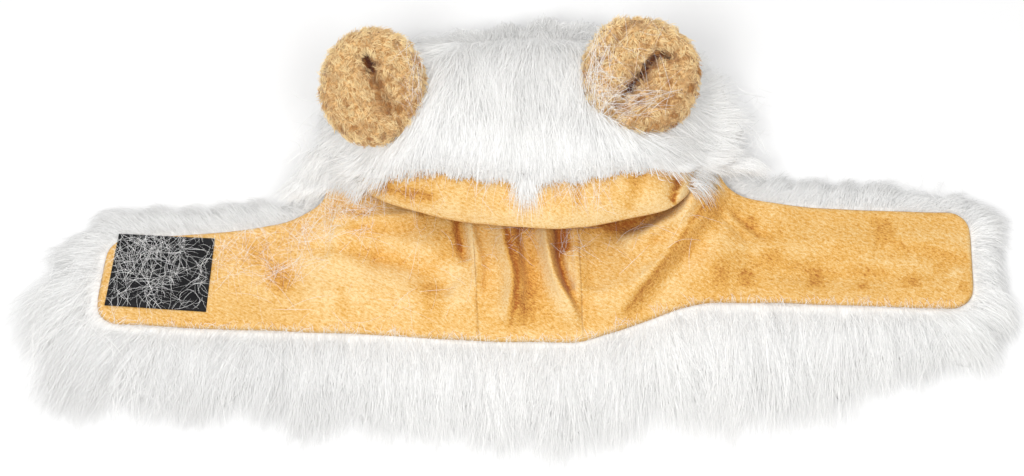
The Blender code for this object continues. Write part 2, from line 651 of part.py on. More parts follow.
def ear(name, material, grow=0.0):
    """A plush ear: a thick round pad, its face pinched into a crease, tilted back."""
    x, y, z, width, height, tilt, crease_heading, crease_side = EAR_ROWS[name]
    angles = np.linspace(0.0, 2 * math.pi, EAR_STEPS, endpoint=False)
    turn = math.radians(crease_heading)
    along = np.cos(angles - turn) * (CREASE_LENGTH / 2)
    across = np.sin(angles - turn) * (CREASE_WIDTH / 2)
    crease_u = along * math.cos(turn) - across * math.sin(turn) + crease_side
    crease_v = along * math.sin(turn) + across * math.cos(turn) + CREASE_UP
    flat_base = 1 - EAR_BASE_FLAT * np.clip(-np.sin(angles), 0.0, 1.0) ** 4
    outline_u = (width / 2 + grow) * np.cos(angles)
    outline_v = (height / 2 + grow) * np.sin(angles) * flat_base
    back = math.radians(tilt)
    up = np.array((0.0, math.sin(back), math.cos(back)))
    face = np.array((0.0, -math.cos(back), math.sin(back)))
    rings = []
    first_ring = 0 if grow == 0.0 else NEST_FIRST_RING
    for crease_share, outline_share, raised in EAR_RINGS[first_ring:]:
        widen = 1.0 + CREASE_SPREAD * (crease_share - CREASE_MEAN_SHARE)
        u = crease_u * crease_share * widen * (1 - outline_share) + outline_u * outline_share
        v = crease_v * crease_share * (1 - outline_share) + outline_v * outline_share
        w = raised * EAR_THICKNESS + math.copysign(grow, raised) * (raised != 0.0)
        rings.append(
            np.array((x, y, z)) + np.outer(u, (1.0, 0.0, 0.0)) + np.outer(v, up) + w * face
        )
    return ring_shell(name if grow == 0.0 else name + "_nest", rings[::-1], material)


def prism(name, corners, low, high, grow=0.0):
    """A flat plate with the given corners in plan, grown outwards by grow."""
    corners = np.array(corners)
    middle = corners.mean(axis=0)
    reach = corners - middle
    corners = middle + reach * (1 + grow / (np.abs(reach).min(axis=1)))[:, None]
    bottom = [(x, y, low) for x, y in corners]
    top = [(x, y, high) for x, y in corners]
    sides = [(i, (i + 1) % 4, 4 + (i + 1) % 4, 4 + i) for i in range(4)]
    faces = [(3, 2, 1, 0), (4, 5, 6, 7)] + sides
    if np.cross(corners[1] - corners[0], corners[2] - corners[1]) < 0:
        faces = [face[::-1] for face in faces]
    return closed_mesh(name, bottom + top, faces, bpy.data.materials["hook_tape"], 10.0)


def cut(body, cutter):
    """Takes the cutter's space out of the body and leaves the cutter as a guide."""
    cutter.hide_render = True
    cutter.display_type = "WIRE"
    modifier = body.modifiers.new("cut " + cutter.name, "BOOLEAN")
    modifier.operation = "DIFFERENCE"
    modifier.solver = "EXACT"
    modifier.object = cutter


def tapes(materials):
    """Hook tape on the left strap's face, loop tape under the right strap's end."""
    hook_bottom = LINING_TOP + GAP
    hook = prism("hook_patch", HOOK_CORNERS, hook_bottom, hook_bottom + TAPE_THICKNESS)
    hook.data.materials[0] = materials["hook_tape"]
    loop = prism("loop_patch", LOOP_CORNERS, LOOP_BOTTOM, LOOP_BOTTOM + TAPE_THICKNESS)
    loop.data.materials[0] = materials["loop_tape"]


def make_materials():
    made = {}
    for name, (colour, roughness) in MATERIALS.items():
        material = bpy.data.materials.new(name)
        material.use_nodes = True
        shader = material.node_tree.nodes["Principled BSDF"]
        shader.inputs["Base Color"].default_value = (*colour, 1.0)
        shader.inputs["Roughness"].default_value = roughness
        shader.inputs["Metallic"].default_value = 0.0
        made[name] = material
    return made


def stand_on_origin():
    """Moves every mesh so that the wig's box stands centred on the origin."""
    nodes = [obj for obj in bpy.context.scene.objects if not obj.hide_render]
    corners = np.array([vertex.co for obj in nodes for vertex in obj.data.vertices])
    low, high = corners.min(axis=0), corners.max(axis=0)
    shift = np.array((-(low[0] + high[0]) / 2, -(low[1] + high[1]) / 2, -low[2]))
    for obj in bpy.context.scene.objects:
        for vertex in obj.data.vertices:
            vertex.co = np.array(vertex.co) + shift


def main():
    for obj in list(bpy.data.objects):
        bpy.data.objects.remove(obj)
    materials = make_materials()
    lining(materials)
    lining_crown(materials)
    fur_band(materials)
    nests = [ear(name, materials["plush"], GAP) for name in EAR_ROWS]
    for name in EAR_ROWS:
        ear(name, materials["plush"])
    fur_crown(materials, nests)
    tapes(materials)
    stand_on_origin()


main()
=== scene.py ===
# %% [markdown]
# # A lion mane wig for a cat or a small dog
# The wig lies open on a table with its lining up. It is a hood with two straps: long white fur
# cloth outside, tan velour inside, two round plush ears, and a patch of hook tape on one strap.
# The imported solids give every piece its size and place. This lesson dresses them: cloth with
# folds and nap, a rolled hem, curly ears, and fur made of many thousands of thin ribbons.

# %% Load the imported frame
import math
import random

import bpy
import numpy as np
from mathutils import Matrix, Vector


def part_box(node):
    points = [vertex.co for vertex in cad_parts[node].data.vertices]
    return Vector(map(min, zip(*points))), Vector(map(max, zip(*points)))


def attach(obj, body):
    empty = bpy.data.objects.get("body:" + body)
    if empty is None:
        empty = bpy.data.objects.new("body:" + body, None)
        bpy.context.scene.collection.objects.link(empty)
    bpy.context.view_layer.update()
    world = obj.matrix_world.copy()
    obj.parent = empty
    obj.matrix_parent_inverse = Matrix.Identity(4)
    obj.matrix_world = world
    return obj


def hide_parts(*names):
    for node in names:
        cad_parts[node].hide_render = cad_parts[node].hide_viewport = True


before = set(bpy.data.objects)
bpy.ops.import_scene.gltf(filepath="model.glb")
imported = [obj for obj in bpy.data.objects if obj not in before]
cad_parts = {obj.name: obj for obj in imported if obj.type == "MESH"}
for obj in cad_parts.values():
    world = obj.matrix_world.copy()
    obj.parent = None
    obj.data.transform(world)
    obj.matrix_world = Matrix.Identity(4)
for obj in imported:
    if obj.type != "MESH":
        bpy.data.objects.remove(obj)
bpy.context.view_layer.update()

print("frame loaded:", ", ".join(sorted(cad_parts)))

# %% [markdown]
# ## Places
# All sizes are in millimetres from a point on the table below the middle of the neck, X to the
# right, Y away from the mouth and Z up. One corner of the hook patch ties that point to the frame.

# %% From the wig's own millimetres to the frame
MM = 0.001
HOOK_LOW_CORNER = (-168.0, -42.0, 13.3)
origin = np.array(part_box("hook_patch")[0]) - np.array(HOOK_LOW_CORNER) * MM


def placed(points):
    """Points in the wig's millimetres, in the frame's metres."""
    return np.asarray(points, float) * MM + origin


print("the wig's zero lies at", np.round(origin, 4))

# %% [markdown]
# ## Camera, light and table
# The photograph looks down at about 65 degrees through a long lens. Its light is soft and comes
# from above the viewer, more of it from the left, so shadows fall behind the fur, and the table is
# almost burnt out. Two lamps near the viewer, a larger one behind the wig and a bright even
# surround give that.

# %% Camera, lamps and table
CAMERA_ELEVATION = 65.0
CAMERA_DISTANCE = 1500.0
VIEW_WIDTH = 430.0
SENSOR = 36.0
AIM = (0.0, -2.0, 0.0)

scene = bpy.context.scene
bpy.ops.object.select_all(action="DESELECT")
tilt = math.radians(CAMERA_ELEVATION)
camera_place = np.array(AIM) + CAMERA_DISTANCE * np.array((0.0, -math.cos(tilt), math.sin(tilt)))
bpy.ops.object.camera_add(location=placed(camera_place), rotation=(math.pi / 2 - tilt, 0.0, 0.0))
camera = bpy.context.object
camera.data.sensor_width = SENSOR
camera.data.lens = SENSOR * CAMERA_DISTANCE / VIEW_WIDTH
scene.camera = camera
scene.view_settings.view_transform = "Standard"

LAMPS = (
    # place, size, watts
    ((-300.0, -620.0, 1180.0), 0.40, 7.6),
    ((260.0, -560.0, 1220.0), 0.40, 4.4),
    ((0.0, 420.0, 1350.0), 0.80, 4.4),
)
WORLD_STRENGTH = 0.37
TABLE_SIZE = 6.0
for place, size, watts in LAMPS:
    bpy.ops.object.light_add(type="AREA", location=placed(place))
    lamp = bpy.context.object
    lamp.data.size = size
    lamp.data.energy = watts
    aim = Vector(origin) - lamp.location
    lamp.rotation_euler = aim.to_track_quat("-Z", "Y").to_euler()

world = bpy.data.worlds.new("studio")
world.use_nodes = True
world.node_tree.nodes["Background"].inputs["Color"].default_value = (1.0, 1.0, 1.0, 1.0)
world.node_tree.nodes["Background"].inputs["Strength"].default_value = WORLD_STRENGTH
scene.world = world

bpy.ops.mesh.primitive_plane_add(size=TABLE_SIZE, location=(0.0, 0.0, 0.0))
table = bpy.context.object
table.name = "table"
print("camera", round(camera.data.lens, 1), "mm, lamps", len(LAMPS))

# %% [markdown]
# ## Shader sums
# A finish is easier to read as a formula than as a web of nodes. This class holds a socket and
# adds a Math node for each sign, and the next one makes a material and its other nodes.

# %% Sockets that can be added and multiplied


class Wire:
    """A socket that can stand in a sum: every sign adds one Math node."""

    def __init__(self, tree, socket):
        self.tree, self.socket = tree, socket

    def maths(self, operation, first, second=0.0):
        node = self.tree.nodes.new("ShaderNodeMath")
        node.operation = operation
        for socket, value in zip(node.inputs, (first, second)):
            if isinstance(value, Wire):
                self.tree.links.new(value.socket, socket)
            else:
                socket.default_value = value
        return Wire(self.tree, node.outputs[0])

    def __add__(self, other):
        return self.maths("ADD", self, other)

    def __radd__(self, other):
        return self.maths("ADD", other, self)

    def __sub__(self, other):
        return self.maths("SUBTRACT", self, other)

    def __rsub__(self, other):
        return self.maths("SUBTRACT", other, self)

    def __mul__(self, other):
        return self.maths("MULTIPLY", self, other)

    def __rmul__(self, other):
        return self.maths("MULTIPLY", other, self)


class Finish:
    """A material and the means to wire it."""

    def __init__(self, name, colour, roughness, **constants):
        self.material = bpy.data.materials.new(name)
        self.material.use_nodes = True
        self.tree = self.material.node_tree
        self.shader = self.tree.nodes["Principled BSDF"]
        self.shader.inputs["Base Color"].default_value = (*colour, 1.0)
        self.shader.inputs["Roughness"].default_value = roughness
        for socket, value in constants.items():
            self.shader.inputs[socket.replace("_", " ")].default_value = value

    def node(self, kind, settings=None, output=0, **values):
        """One node of a kind, its settings first and then its sockets' values or links."""
        made = self.tree.nodes.new("ShaderNode" + kind)
        settings = dict(settings or {})
        stops = settings.pop("stops", ())
        for name, value in settings.items():
            setattr(made, name, value)
        for element, (place, shade) in zip(made.color_ramp.elements if stops else (), stops):
            element.position, element.color = place, (shade, shade, shade, 1.0)
        for name, value in values.items():
            self.feed(made.inputs[name.replace("_", " ")], value)
        return Wire(self.tree, made.outputs[output])

    def feed(self, socket, value):
        if isinstance(value, Wire):
            self.tree.links.new(value.socket, socket)
        elif isinstance(value, tuple) and len(value) == 3 and socket.type == "RGBA":
            socket.default_value = (*value, 1.0)
        else:
            socket.default_value = value

    def wear(self, **values):
        """Feeds the shader's sockets."""
        for name, value in values.items():
            self.feed(self.shader.inputs[name.replace("_", " ")], value)

    def place(self, turn=(0.0, 0.0, 0.0), stretch=(1.0, 1.0, 1.0)):
        """The object's own coordinates, so that a pattern is stretched and then turned."""
        here = self.node("TexCoord", output=3)
        return self.node("Mapping", {"vector_type": "TEXTURE"}, Vector=here, Rotation=turn, Scale=stretch)

    def noise(self, per_mm, place, detail=2.0, roughness=0.5):
        return self.node("TexNoise", Vector=place, Scale=per_mm / MM, Detail=detail, Roughness=roughness)

    def ramp(self, value, low, high):
        """0 where the value is below low and 1 where it is above high."""
        return self.node("ValToRGB", {"stops": ((low, 0.0), (high, 1.0))}, Fac=value)

    def mix(self, factor, first, second):
        made = self.tree.nodes.new("ShaderNodeMix")
        made.data_type = "RGBA"
        for socket, value in ((made.inputs[0], factor), (made.inputs[6], first), (made.inputs[7], second)):
            self.feed(socket, value)
        return Wire(self.tree, made.outputs[2])

    def bump(self, height, distance_mm, strength=1.0):
        return self.node("Bump", Height=height, Distance=distance_mm * MM, Strength=strength)

    def attribute(self, name, output=2):
        """A mesh's own number, or with output 1 its own vector."""
        return self.node("Attribute", {"attribute_name": name}, output=output)


table_paper = Finish(
    "table_paper", (0.93, 0.93, 0.93), 0.9, Emission_Color=(1.0, 1.0, 1.0, 1.0), Emission_Strength=0.04
)
table.data.materials.append(table_paper.material)
print("shader helpers ready")

# %% [markdown]
# ## The outlines that every piece shares
# The lining, the fur and the hem all follow the same few lines, so these come first: the band's
# front and back edge, the height of its folds, and the ring of the crown's hem. A short table with
# a row for each station or fold is easier to fit to a photograph than a sculpted mesh.

# %% Smooth lines through a few stations
RING_DETAIL = 40


def smooth(at, stations, values):
    """A cubic through the table's points, flat past its ends, that never overshoots them."""
    stations, values = np.asarray(stations, float), np.asarray(values, float)
    slopes = np.diff(values) / np.diff(stations)
    tangents = np.zeros(len(values))
    product = slopes[:-1] * slopes[1:]
    total = np.where(np.abs(slopes[:-1] + slopes[1:]) < 1e-12, 1.0, slopes[:-1] + slopes[1:])
    tangents[1:-1] = np.where(product > 0, 2 * product / total, 0.0)
    at = np.clip(at, stations[0], stations[-1])
    i = np.clip(np.searchsorted(stations, at) - 1, 0, len(stations) - 2)
    span = stations[i + 1] - stations[i]
    t = (at - stations[i]) / span
    rest = 1 - t
    return (
        (1 + 2 * t) * rest**2 * values[i]
        + t * rest**2 * span * tangents[i]
        + t**2 * (3 - 2 * t) * values[i + 1]
        - t**2 * rest * span * tangents[i + 1]
    )


def ease(value):
    """0 below 0, 1 above 1, and an S between them."""
    t = np.clip(value, 0.0, 1.0)
    return t * t * (3 - 2 * t)


def line_through(points, steps):
    """Points spread evenly along a smooth line through a few points."""
    points = np.asarray(points, float)
    reach = np.r_[0.0, np.cumsum(np.linalg.norm(np.diff(points, axis=0), axis=1))]
    at = np.linspace(0.0, reach[-1], steps)
    return np.stack([smooth(at, reach, points[:, k]) for k in range(points.shape[1])], axis=1)


def resample_ring(points, steps):
    """A closed line again, with its points the same distance apart in plan."""
    closed = np.vstack([points, points[:1]])
    reach = np.r_[0.0, np.cumsum(np.linalg.norm(np.diff(closed[:, :2], axis=0), axis=1))]
    at = np.linspace(0.0, reach[-1], steps, endpoint=False)
    return np.stack([np.interp(at, reach, closed[:, k]) for k in range(points.shape[1])], axis=1)


def ring_through(points, steps):
    """A closed smooth curve through a few points, with its own points evenly spread."""
    points = np.asarray(points, float)
    before, after, beyond = (np.roll(points, shift, axis=0) for shift in (1, -1, -2))
    share = np.linspace(0.0, 1.0, RING_DETAIL, endpoint=False)[None, :, None]
    curve = 0.5 * (
        2 * points[:, None]
        + (after - before)[:, None] * share
        + (2 * before - 5 * points + 4 * after - beyond)[:, None] * share**2
        + (3 * points - before - 3 * after + beyond)[:, None] * share**3
    )
    return resample_ring(curve.reshape(-1, points.shape[1]), steps)


def along_ring(ring, rows, column):
    """A zone table's column spread round a ring: each row holds where its zone lies."""
    nearest = [int(np.argmin(np.hypot(ring[:, 0] - row[1], ring[:, 1] - row[2]))) for row in rows]
    order = np.argsort(nearest)
    stations = np.array(nearest, float)[order]
    values = np.array([float(row[column]) for row in rows])[order]
    count = len(ring)
    stations = np.r_[stations[-1] - count, stations, stations[0] + count]
    values = np.r_[values[-1], values, values[0]]
    return np.interp(np.arange(count), stations, values)


def headings_along(ring, rows):
    """The unit vectors of a zone table's headings, turned smoothly round a ring."""
    across = along_ring(ring, [row[:3] + (math.cos(math.radians(row[3])),) for row in rows], 3)
    away = along_ring(ring, [row[:3] + (math.sin(math.radians(row[3])),) for row in rows], 3)
    length = np.hypot(across, away)
    return np.stack([across / length, away / length], axis=1)


print("line helpers ready")

# %% The band's edges and its folds
LEFT_END, RIGHT_END, CORNER_RADIUS = -170.0, 191.0, 10.0
LEFT_END_LEAN, LEAN_PIVOT_Y, LEAN_FADE = 0.13, -26.0, 50.0
SEAM_LEFT_X, SEAM_LEFT_LEAN = -15.0, -0.06
SEAM_RIGHT_X, SEAM_RIGHT_LEAN = 28.5, -0.03
SEAM_PIVOT_Y = -30.0
GAP = 0.3
BAND_ROWS = (
    # x, front, back
    (-170.0, -46.0, -7.0),
    (-125.0, -48.5, -5.0),
    (-97.0, -49.5, -1.0),
    (-84.0, -50.0, 4.0),
    (-77.5, -50.3, 9.0),
    (-74.0, -50.5, 22.0),
    (-71.0, -50.6, 48.0),
    (-58.0, -51.0, 68.0),
    (0.0, -54.5, 79.0),
    (24.0, -54.5, 79.0),
    (40.0, -50.5, 78.0),
    (55.0, -45.0, 76.0),
    (72.0, -38.6, 64.0),
    (81.5, -36.9, 44.0),
    (86.5, -36.8, 24.0),
    (91.0, -36.8, 15.0),
    (98.0, -36.8, 11.3),
    (120.0, -37.3, 7.5),
    (150.0, -38.2, 5.5),
    (191.0, -39.6, 4.5),
)
BAND_X, BAND_FRONT, BAND_BACK = (np.array(column) for column in zip(*BAND_ROWS))

LINING_TOP = 13.0
LINING_WALL = 2.2
WING_RISE, WING_FROM, WING_TO, WING_SLOPE = 4.0, -96.0, 104.0, 22.0
FRONT_SLOPE, UNDER_CROWN_Y, UNDER_CROWN_SLOPE = 17.0, 16.0, 20.0
# The share of a fold that is left at the front edge, and the lowest that a fold can press the cloth
FRONT_FOLDS, DEEPEST = 0.3, 1.2
# A fold's line has this many steps, fades over some of them, and changes width past its crest
FOLD_STEPS, FOLD_FADE, FOLD_START, FOLD_SIDE_CHANGE = 40, 9.0, 0.2, 0.8

# The folds that the solids have, and below them the small ones that only show close by
FOLD_ROWS = (
    # name, points, height, left, right
    ("left wing ridge", ((-76, -9), (-52, -12), (-30, -19)), 1.8, 6.0, 5.0),
    ("left wing valley", ((-58, -17), (-40, -24), (-24, -33)), -2.2, 6.0, 6.0),
    ("left brow pucker", ((-74, 2), (-58, -1), (-38, 0)), 2.4, 4.0, 3.0),
    ("left seam crease", ((-21, 2), (-20, -9), (-19, -20)), -2.4, 2.4, 2.4),
    ("gusset left ridge", ((0, 2), (2.5, -17), (4.0, -32), (1.7, -49)), 4.6, 3.4, 8.0),
    ("gusset right ridge", ((14, 2), (15.5, -18), (20, -36), (27, -50)), 5.0, 4.0, 4.4),
    ("right seam ridge", ((25.5, -3), (26.3, -20), (28.0, -38)), 2.6, 4.0, 2.0),
    ("mouth rim fold", ((76, 17), (72, 2), (59, -7), (44, -12)), 4.6, 8.0, 4.0),
    ("long right ridge", ((86, 14), (74, -3), (58, -26), (40, -47)), 5.0, 4.5, 12.0),
    ("right strap ripple", ((98, -15), (140, -10), (188, -12)), 0.9, 6.0, 6.0),
    ("right strap dip", ((105, -25), (150, -26), (184, -22)), -0.7, 5.0, 5.0),
)
SMALL_FOLD_ROWS = (
    # name, points, height, left, right
    ("left hem line", ((-118, -46.3), (-89, -47.6), (-38, -50.4)), -1.0, 0.9, 0.9),
    ("left wing light ridge", ((-76, -16), (-66, -24), (-58, -38)), 1.4, 6.0, 5.0),
    ("left wing valley", ((-84, -14), (-56, -17), (-37, -21), (-28, -26)), -1.3, 3.5, 3.5),
    ("left wing rim", ((-74, -7), (-56, -3), (-36, 1)), 1.6, 1.8, 2.6),
    ("left wing gather", ((-70, 3), (-64, 1), (-58, 1)), -1.6, 1.2, 1.2),
    ("left wing pleat", ((-78, 0), (-66, -3), (-56, -1)), 1.2, 1.3, 1.5),
    ("left seam line", ((-23, 1), (-22, -8), (-20, -18)), -2.0, 1.2, 1.8),
    ("left seam ridge", ((-18, 0), (-16, -10), (-13, -24), (-14, -36)), 2.2, 1.8, 3.0),
    ("gusset ridge edge", ((-4.6, -4), (-1.9, -17), (0.6, -30), (-0.2, -41), (-1.9, -50)), 2.4, 0.9, 3.4),
    ("gusset recess", ((4, -4), (7, -18), (9, -32), (9, -44)), -1.0, 4.0, 3.2),
    ("gusset recess wall", ((2.6, -3), (4.4, -17), (6.0, -31), (4.4, -44)), -2.0, 2.2, 1.8),
    ("gusset right edge", ((13, -6), (15, -18), (17.5, -29), (23, -39), (28, -47)), 2.2, 1.1, 2.0),
    ("gusset dark gap", ((19.5, -5), (19, -14), (21, -25), (24.5, -34)), -3.6, 1.6, 1.5),
    ("gusset far ridge", ((22.5, -12), (23.8, -26), (27, -36)), 1.0, 1.2, 1.2),
    ("right wing rim edge", ((74, 14), (75, 6), (71, -4), (62, -8), (52, -13)), 2.0, 2.0, 3.0),
    ("right wing dark valley", ((84, 8), (73, -4), (57, -14)), -1.6, 2.6, 2.6),
    ("right wing ridge edge", ((86.5, 12), (80, -1), (68, -17), (51.6, -33), (42, -47)), 1.6, 3.0, 2.2),
    ("right wing under ridge", ((88, 2), (80, -12), (68, -26), (56, -40)), -0.7, 4.0, 6.0),
    ("right wing face dent", ((40, -14), (36, -24), (33, -34)), -0.8, 5.0, 5.0),
    ("right strap crease", ((92, 3), (98, -2), (106, -8)), -0.8, 1.6, 1.6),
    ("right strap crease two", ((86, 2), (92, -4), (98, -10)), -0.6, 1.6, 1.6),
    ("right strap valley", ((150, -12), (170, -15), (190, -20)), -0.9, 4.0, 4.0),
    ("right strap low valley", ((110, -27), (132, -26), (158, -27)), -0.6, 4.0, 4.0),
    ("right strap wave", ((112, 2), (120, -12), (124, -30)), 0.4, 6.0, 8.0),
)
# Places where the nap was crushed: x, y, half width, half depth
CRUSHED_ROWS = (
    (155.0, -4.6, 4.3, 5.8),
    (125.8, -26.0, 4.2, 5.2),
    (86.0, -26.0, 4.0, 5.2),
    (97.0, -26.6, 3.6, 4.0),
    (100.0, -1.0, 3.0, 3.0),
    (187.0, -31.0, 2.4, 3.0),
    (165.0, -28.0, 4.0, 2.4),
    (145.0, -30.0, 3.0, 2.0),
    (178.0, -22.0, 4.0, 2.4),
    (109.0, -16.0, 5.0, 3.0),
    (-96.0, -26.0, 6.0, 8.0),
    (-106.0, -14.0, 6.0, 5.0),
)
# Painted light and shade on the velour: darker where the nap lies away from the light, under the lip and
# where a fold shades its neighbour, lighter where a face is lit; and darker stitch lines at the seams. Rows
# as for the folds
LIGHT_SHADE_AND_STITCH_ROWS = (
    # name, points, change of tone, left, right
    ("gusset recess", ((-3.0, -2), (-1.0, -15), (1.8, -30), (1.0, -40), (-0.6, -49)), -0.43, 11.0, 0.7),
    ("gusset recess floor", ((3.9, -4), (5.2, -17), (5.4, -31), (5.4, -42)), 0.32, 2.0, 2.0),
    ("gusset recess edge", ((-2.6, -4), (-0.6, -16), (2.2, -30), (1.4, -41), (0.2, -47)), -0.22, 1.3, 0.5),
    ("gusset dark gap", ((19.5, -3), (20.0, -18), (22.4, -31), (25.0, -39)), -0.42, 1.6, 2.6),
    ("gusset gap top", ((21.5, -3), (21.8, -11), (22.6, -17)), -0.75, 2.4, 2.2),
    ("gusset second ridge", ((11, -5), (12, -19), (15, -31), (20, -42), (27, -50)), 0.16, 4.0, 1.2),
    ("long ridge shade", ((86, 11), (77, -3), (64.5, -21), (53, -34), (42, -47)), -0.10, 9.0, 0.9),
    ("long ridge edge", ((85, 9), (75.4, -3), (63.4, -21), (53, -35), (45.6, -43)), -0.34, 1.2, 0.5),
    ("under ridge light", ((89, 4), (80.5, -11), (68.5, -26), (56, -41)), 0.22, 6.0, 4.0),
    ("long ridge light", ((84, 12), (74, -3), (63, -20), (50, -33)), 0.10, 1.5, 7.0),
    ("rim hollow", ((37, -5.5), (49, -6.0), (58, -4.5), (66, 2), (73, 9)), -0.34, 3.4, 3.4),
    ("left wing shade", ((-86, -14.5), (-56, -17.5), (-37, -21.5)), -0.12, 3.5, 3.5),
    ("left wing upper shade", ((-68, -6.5), (-48, -6), (-35, -2.5)), -0.14, 2.2, 2.2),
    ("left wing corner shade", ((-26, -4), (-26, -13), (-25, -20)), -0.15, 5.0, 6.0),
    ("left wing low shade", ((-32, -29), (-31, -36), (-29, -42)), -0.20, 6.5, 8.0),
    ("left wing streak", ((-71, -31), (-70, -37), (-69, -44)), -0.13, 2.5, 2.5),
    ("left wing light", ((-92, -19), (-71, -26), (-41, -28)), 0.08, 4.0, 4.0),
    ("left wing side light", ((-86, -30), (-60, -30), (-36, -30)), 0.14, 24.0, 24.0),
    ("right side shade", ((44, -24), (110, -20), (184, -18)), -0.07, 22.0, 22.0),
    ("left wing rim shade", ((-74, -7), (-56, -3), (-36, 1)), -0.14, 1.2, 1.8),
    ("left gather shade", ((-72, 3), (-64, 1), (-57, 0)), -0.22, 1.6, 1.6),
    ("left seam shade", ((-23, 2), (-22.5, -6), (-21, -15)), -0.40, 1.2, 1.8),
    ("left seam light", ((-24, -22), (-25, -32), (-24, -41)), 0.18, 7.0, 6.0),
    ("left seam ridge light", ((-17.5, -2), (-15.5, -12), (-13.5, -24)), 0.10, 2.0, 2.5),
    ("left seam stitches", ((-13.6, -16), (-13.8, -26), (-15.2, -42)), -0.20, 0.7, 0.5),
    ("right seam stitches", ((27.4, -12), (28.2, -26), (29.6, -42), (30.4, -50)), -0.18, 0.5, 0.5),
    ("under the lip left", ((-44, 5), (-30, 2), (-18, 0.5), (-5, -2)), -0.40, 2.0, 2.4),
    ("under the lip", ((-5, -2), (12, -4.4), (29, -4.4), (45, -2), (62, 2)), -0.55, 2.6, 2.4),
    ("right strap top shade", ((92, 3), (100, -4), (110, -9)), -0.16, 1.4, 1.8),
    ("right strap light", ((86, -12), (103, -13), (119, -14), (136, -12)), 0.12, 3.0, 3.0),
    ("right strap dark", ((158, -11), (174, -14), (192, -20)), -0.14, 2.0, 3.2),
    ("right strap lower dark", ((99, -20), (112, -21), (124, -20.5)), -0.11, 2.4, 2.4),
    ("right strap lowest dark", ((130, -25), (144, -23), (156, -24)), -0.11, 2.4, 2.0),
    ("right strap lower light", ((143, -17), (165, -20), (186, -24)), 0.12, 2.4, 2.4),
    ("right strap end light", ((168, -6), (184, -8), (194, -12)), 0.10, 3.0, 3.0),
    ("left strap light", ((-120, -22), (-106, -30), (-98, -36)), 0.10, 4.0, 4.0),
    ("left strap dark", ((-104, -16), (-96, -24), (-90, -32)), -0.10, 2.4, 3.4),
    ("front hem light", ((-30, -51), (5, -54), (30, -52), (60, -43)), 0.12, 3.0, 3.0),
)
HOLLOW_X, HOLLOW_Y, HOLLOW_DEPTH, HOLLOW_RADIUS = 49.0, -3.0, 3.0, 8.0


def corner_inset(x):
    """How far the band's edges draw in at its rounded corners."""
    inside = np.clip(CORNER_RADIUS - np.minimum(x - LEFT_END, RIGHT_END - x), 0.0, CORNER_RADIUS)
    return CORNER_RADIUS - np.sqrt(CORNER_RADIUS**2 - inside**2)


def front_edge(x):
    return smooth(x, BAND_X, BAND_FRONT) + corner_inset(x)


def back_edge(x):
    return smooth(x, BAND_X, BAND_BACK) - corner_inset(x)


def leaned(x, y):
    """The left end of the band is cut at a slant, so x shifts with y there."""
    near_end = np.clip((LEFT_END + LEAN_FADE - x) / LEAN_FADE, 0.0, 1.0)
    return x + LEFT_END_LEAN * (y - LEAN_PIVOT_Y) * near_end


def fold_height(x, y, points, height, left, right):
    """One fold's height over the places x, y: a ridge with its own width on either side."""
    line = line_through(points, FOLD_STEPS)
    away = np.stack([x[..., None] - line[:, 0], y[..., None] - line[:, 1]], axis=-1)
    distance = np.hypot(away[..., 0], away[..., 1])
    nearest = np.argmin(distance, axis=-1)
    heading = np.gradient(line, axis=0)[nearest]
    offset = np.take_along_axis(away, nearest[..., None, None], axis=-2)[..., 0, :]
    side = heading[..., 0] * offset[..., 1] - heading[..., 1] * offset[..., 0]
    change = FOLD_SIDE_CHANGE * np.hypot(heading[..., 0], heading[..., 1]) * left
    width = left + (right - left) * ease(0.5 - side / change)
    to_end = FOLD_STEPS - 1 - nearest
    taper = ease(nearest / FOLD_FADE + FOLD_START) * ease(to_end / FOLD_FADE + FOLD_START)
    closest = np.take_along_axis(distance, nearest[..., None], axis=-1)[..., 0]
    return height * np.exp(-((closest / width) ** 2)) * taper


def all_folds(x, y, rows):
    """The height, or the change of tone, that a whole table of folds gives at the places x, y."""
    return sum(fold_height(x, y, *row[1:]) for row in rows)


def lining_top(x, y, folds=FOLD_ROWS):
    """Height of the band's lining over the places x, y, with the folds of a table."""
    x, y = np.asarray(x, float), np.asarray(y, float)
    wing = ease((x - WING_FROM) / WING_SLOPE) * ease((WING_TO - x) / WING_SLOPE)
    under_crown = 1 - ease((y - UNDER_CROWN_Y) / UNDER_CROWN_SLOPE)
    front = ease((y - smooth(x, BAND_X, BAND_FRONT)) / FRONT_SLOPE)
    relief = all_folds(x, y, folds)
    hollow = np.hypot(x - HOLLOW_X, y - HOLLOW_Y) / HOLLOW_RADIUS
    relief = relief - HOLLOW_DEPTH * np.exp(-(hollow**2))
    raised = WING_RISE * wing * under_crown * front
    near_front = FRONT_FOLDS + (1 - FRONT_FOLDS) * front
    return LINING_TOP + raised + np.maximum(relief * under_crown * near_front, -DEEPEST - raised)


print("fold rows:", len(FOLD_ROWS), "main,", len(SMALL_FOLD_ROWS), "small")

# %% The crown's hem and dome
CROWN_ROWS = (
    # name, x, y, stand
    ("mouth middle", 10.0, -14.0, 14.0),
    ("mouth right", 46.0, -8.5, 11.5),
    ("mouth far right", 66.5, -2.5, 6.0),
    ("right corner", 77.0, 14.0, 0.4),
    ("right side", 84.0, 40.0, 0.0),
    ("right back", 70.0, 67.0, 0.0),
    ("back right", 34.0, 79.0, 0.0),
    ("back middle", 0.0, 81.0, 0.0),
    ("left back", -52.0, 70.0, 0.0),
    ("left side", -72.0, 42.0, 0.5),
    ("left corner", -63.0, 14.0, 0.6),
    ("mouth left", -43.0, -2.0, 8.5),
)
CROWN_CENTRE, CROWN_SPINE = (5.0, 36.0), 0.30
CROWN_TOP, CROWN_POWER, CROWN_WALL = 44.0, 2.8, 2.0
BROW_INNER, BROW_OUTER, BROW_THICKNESS = 0.60, 1.0, 5.5
MOUTH_STAND, LIP_EVENING = 6.0, 0.035
RING_STEPS = 416


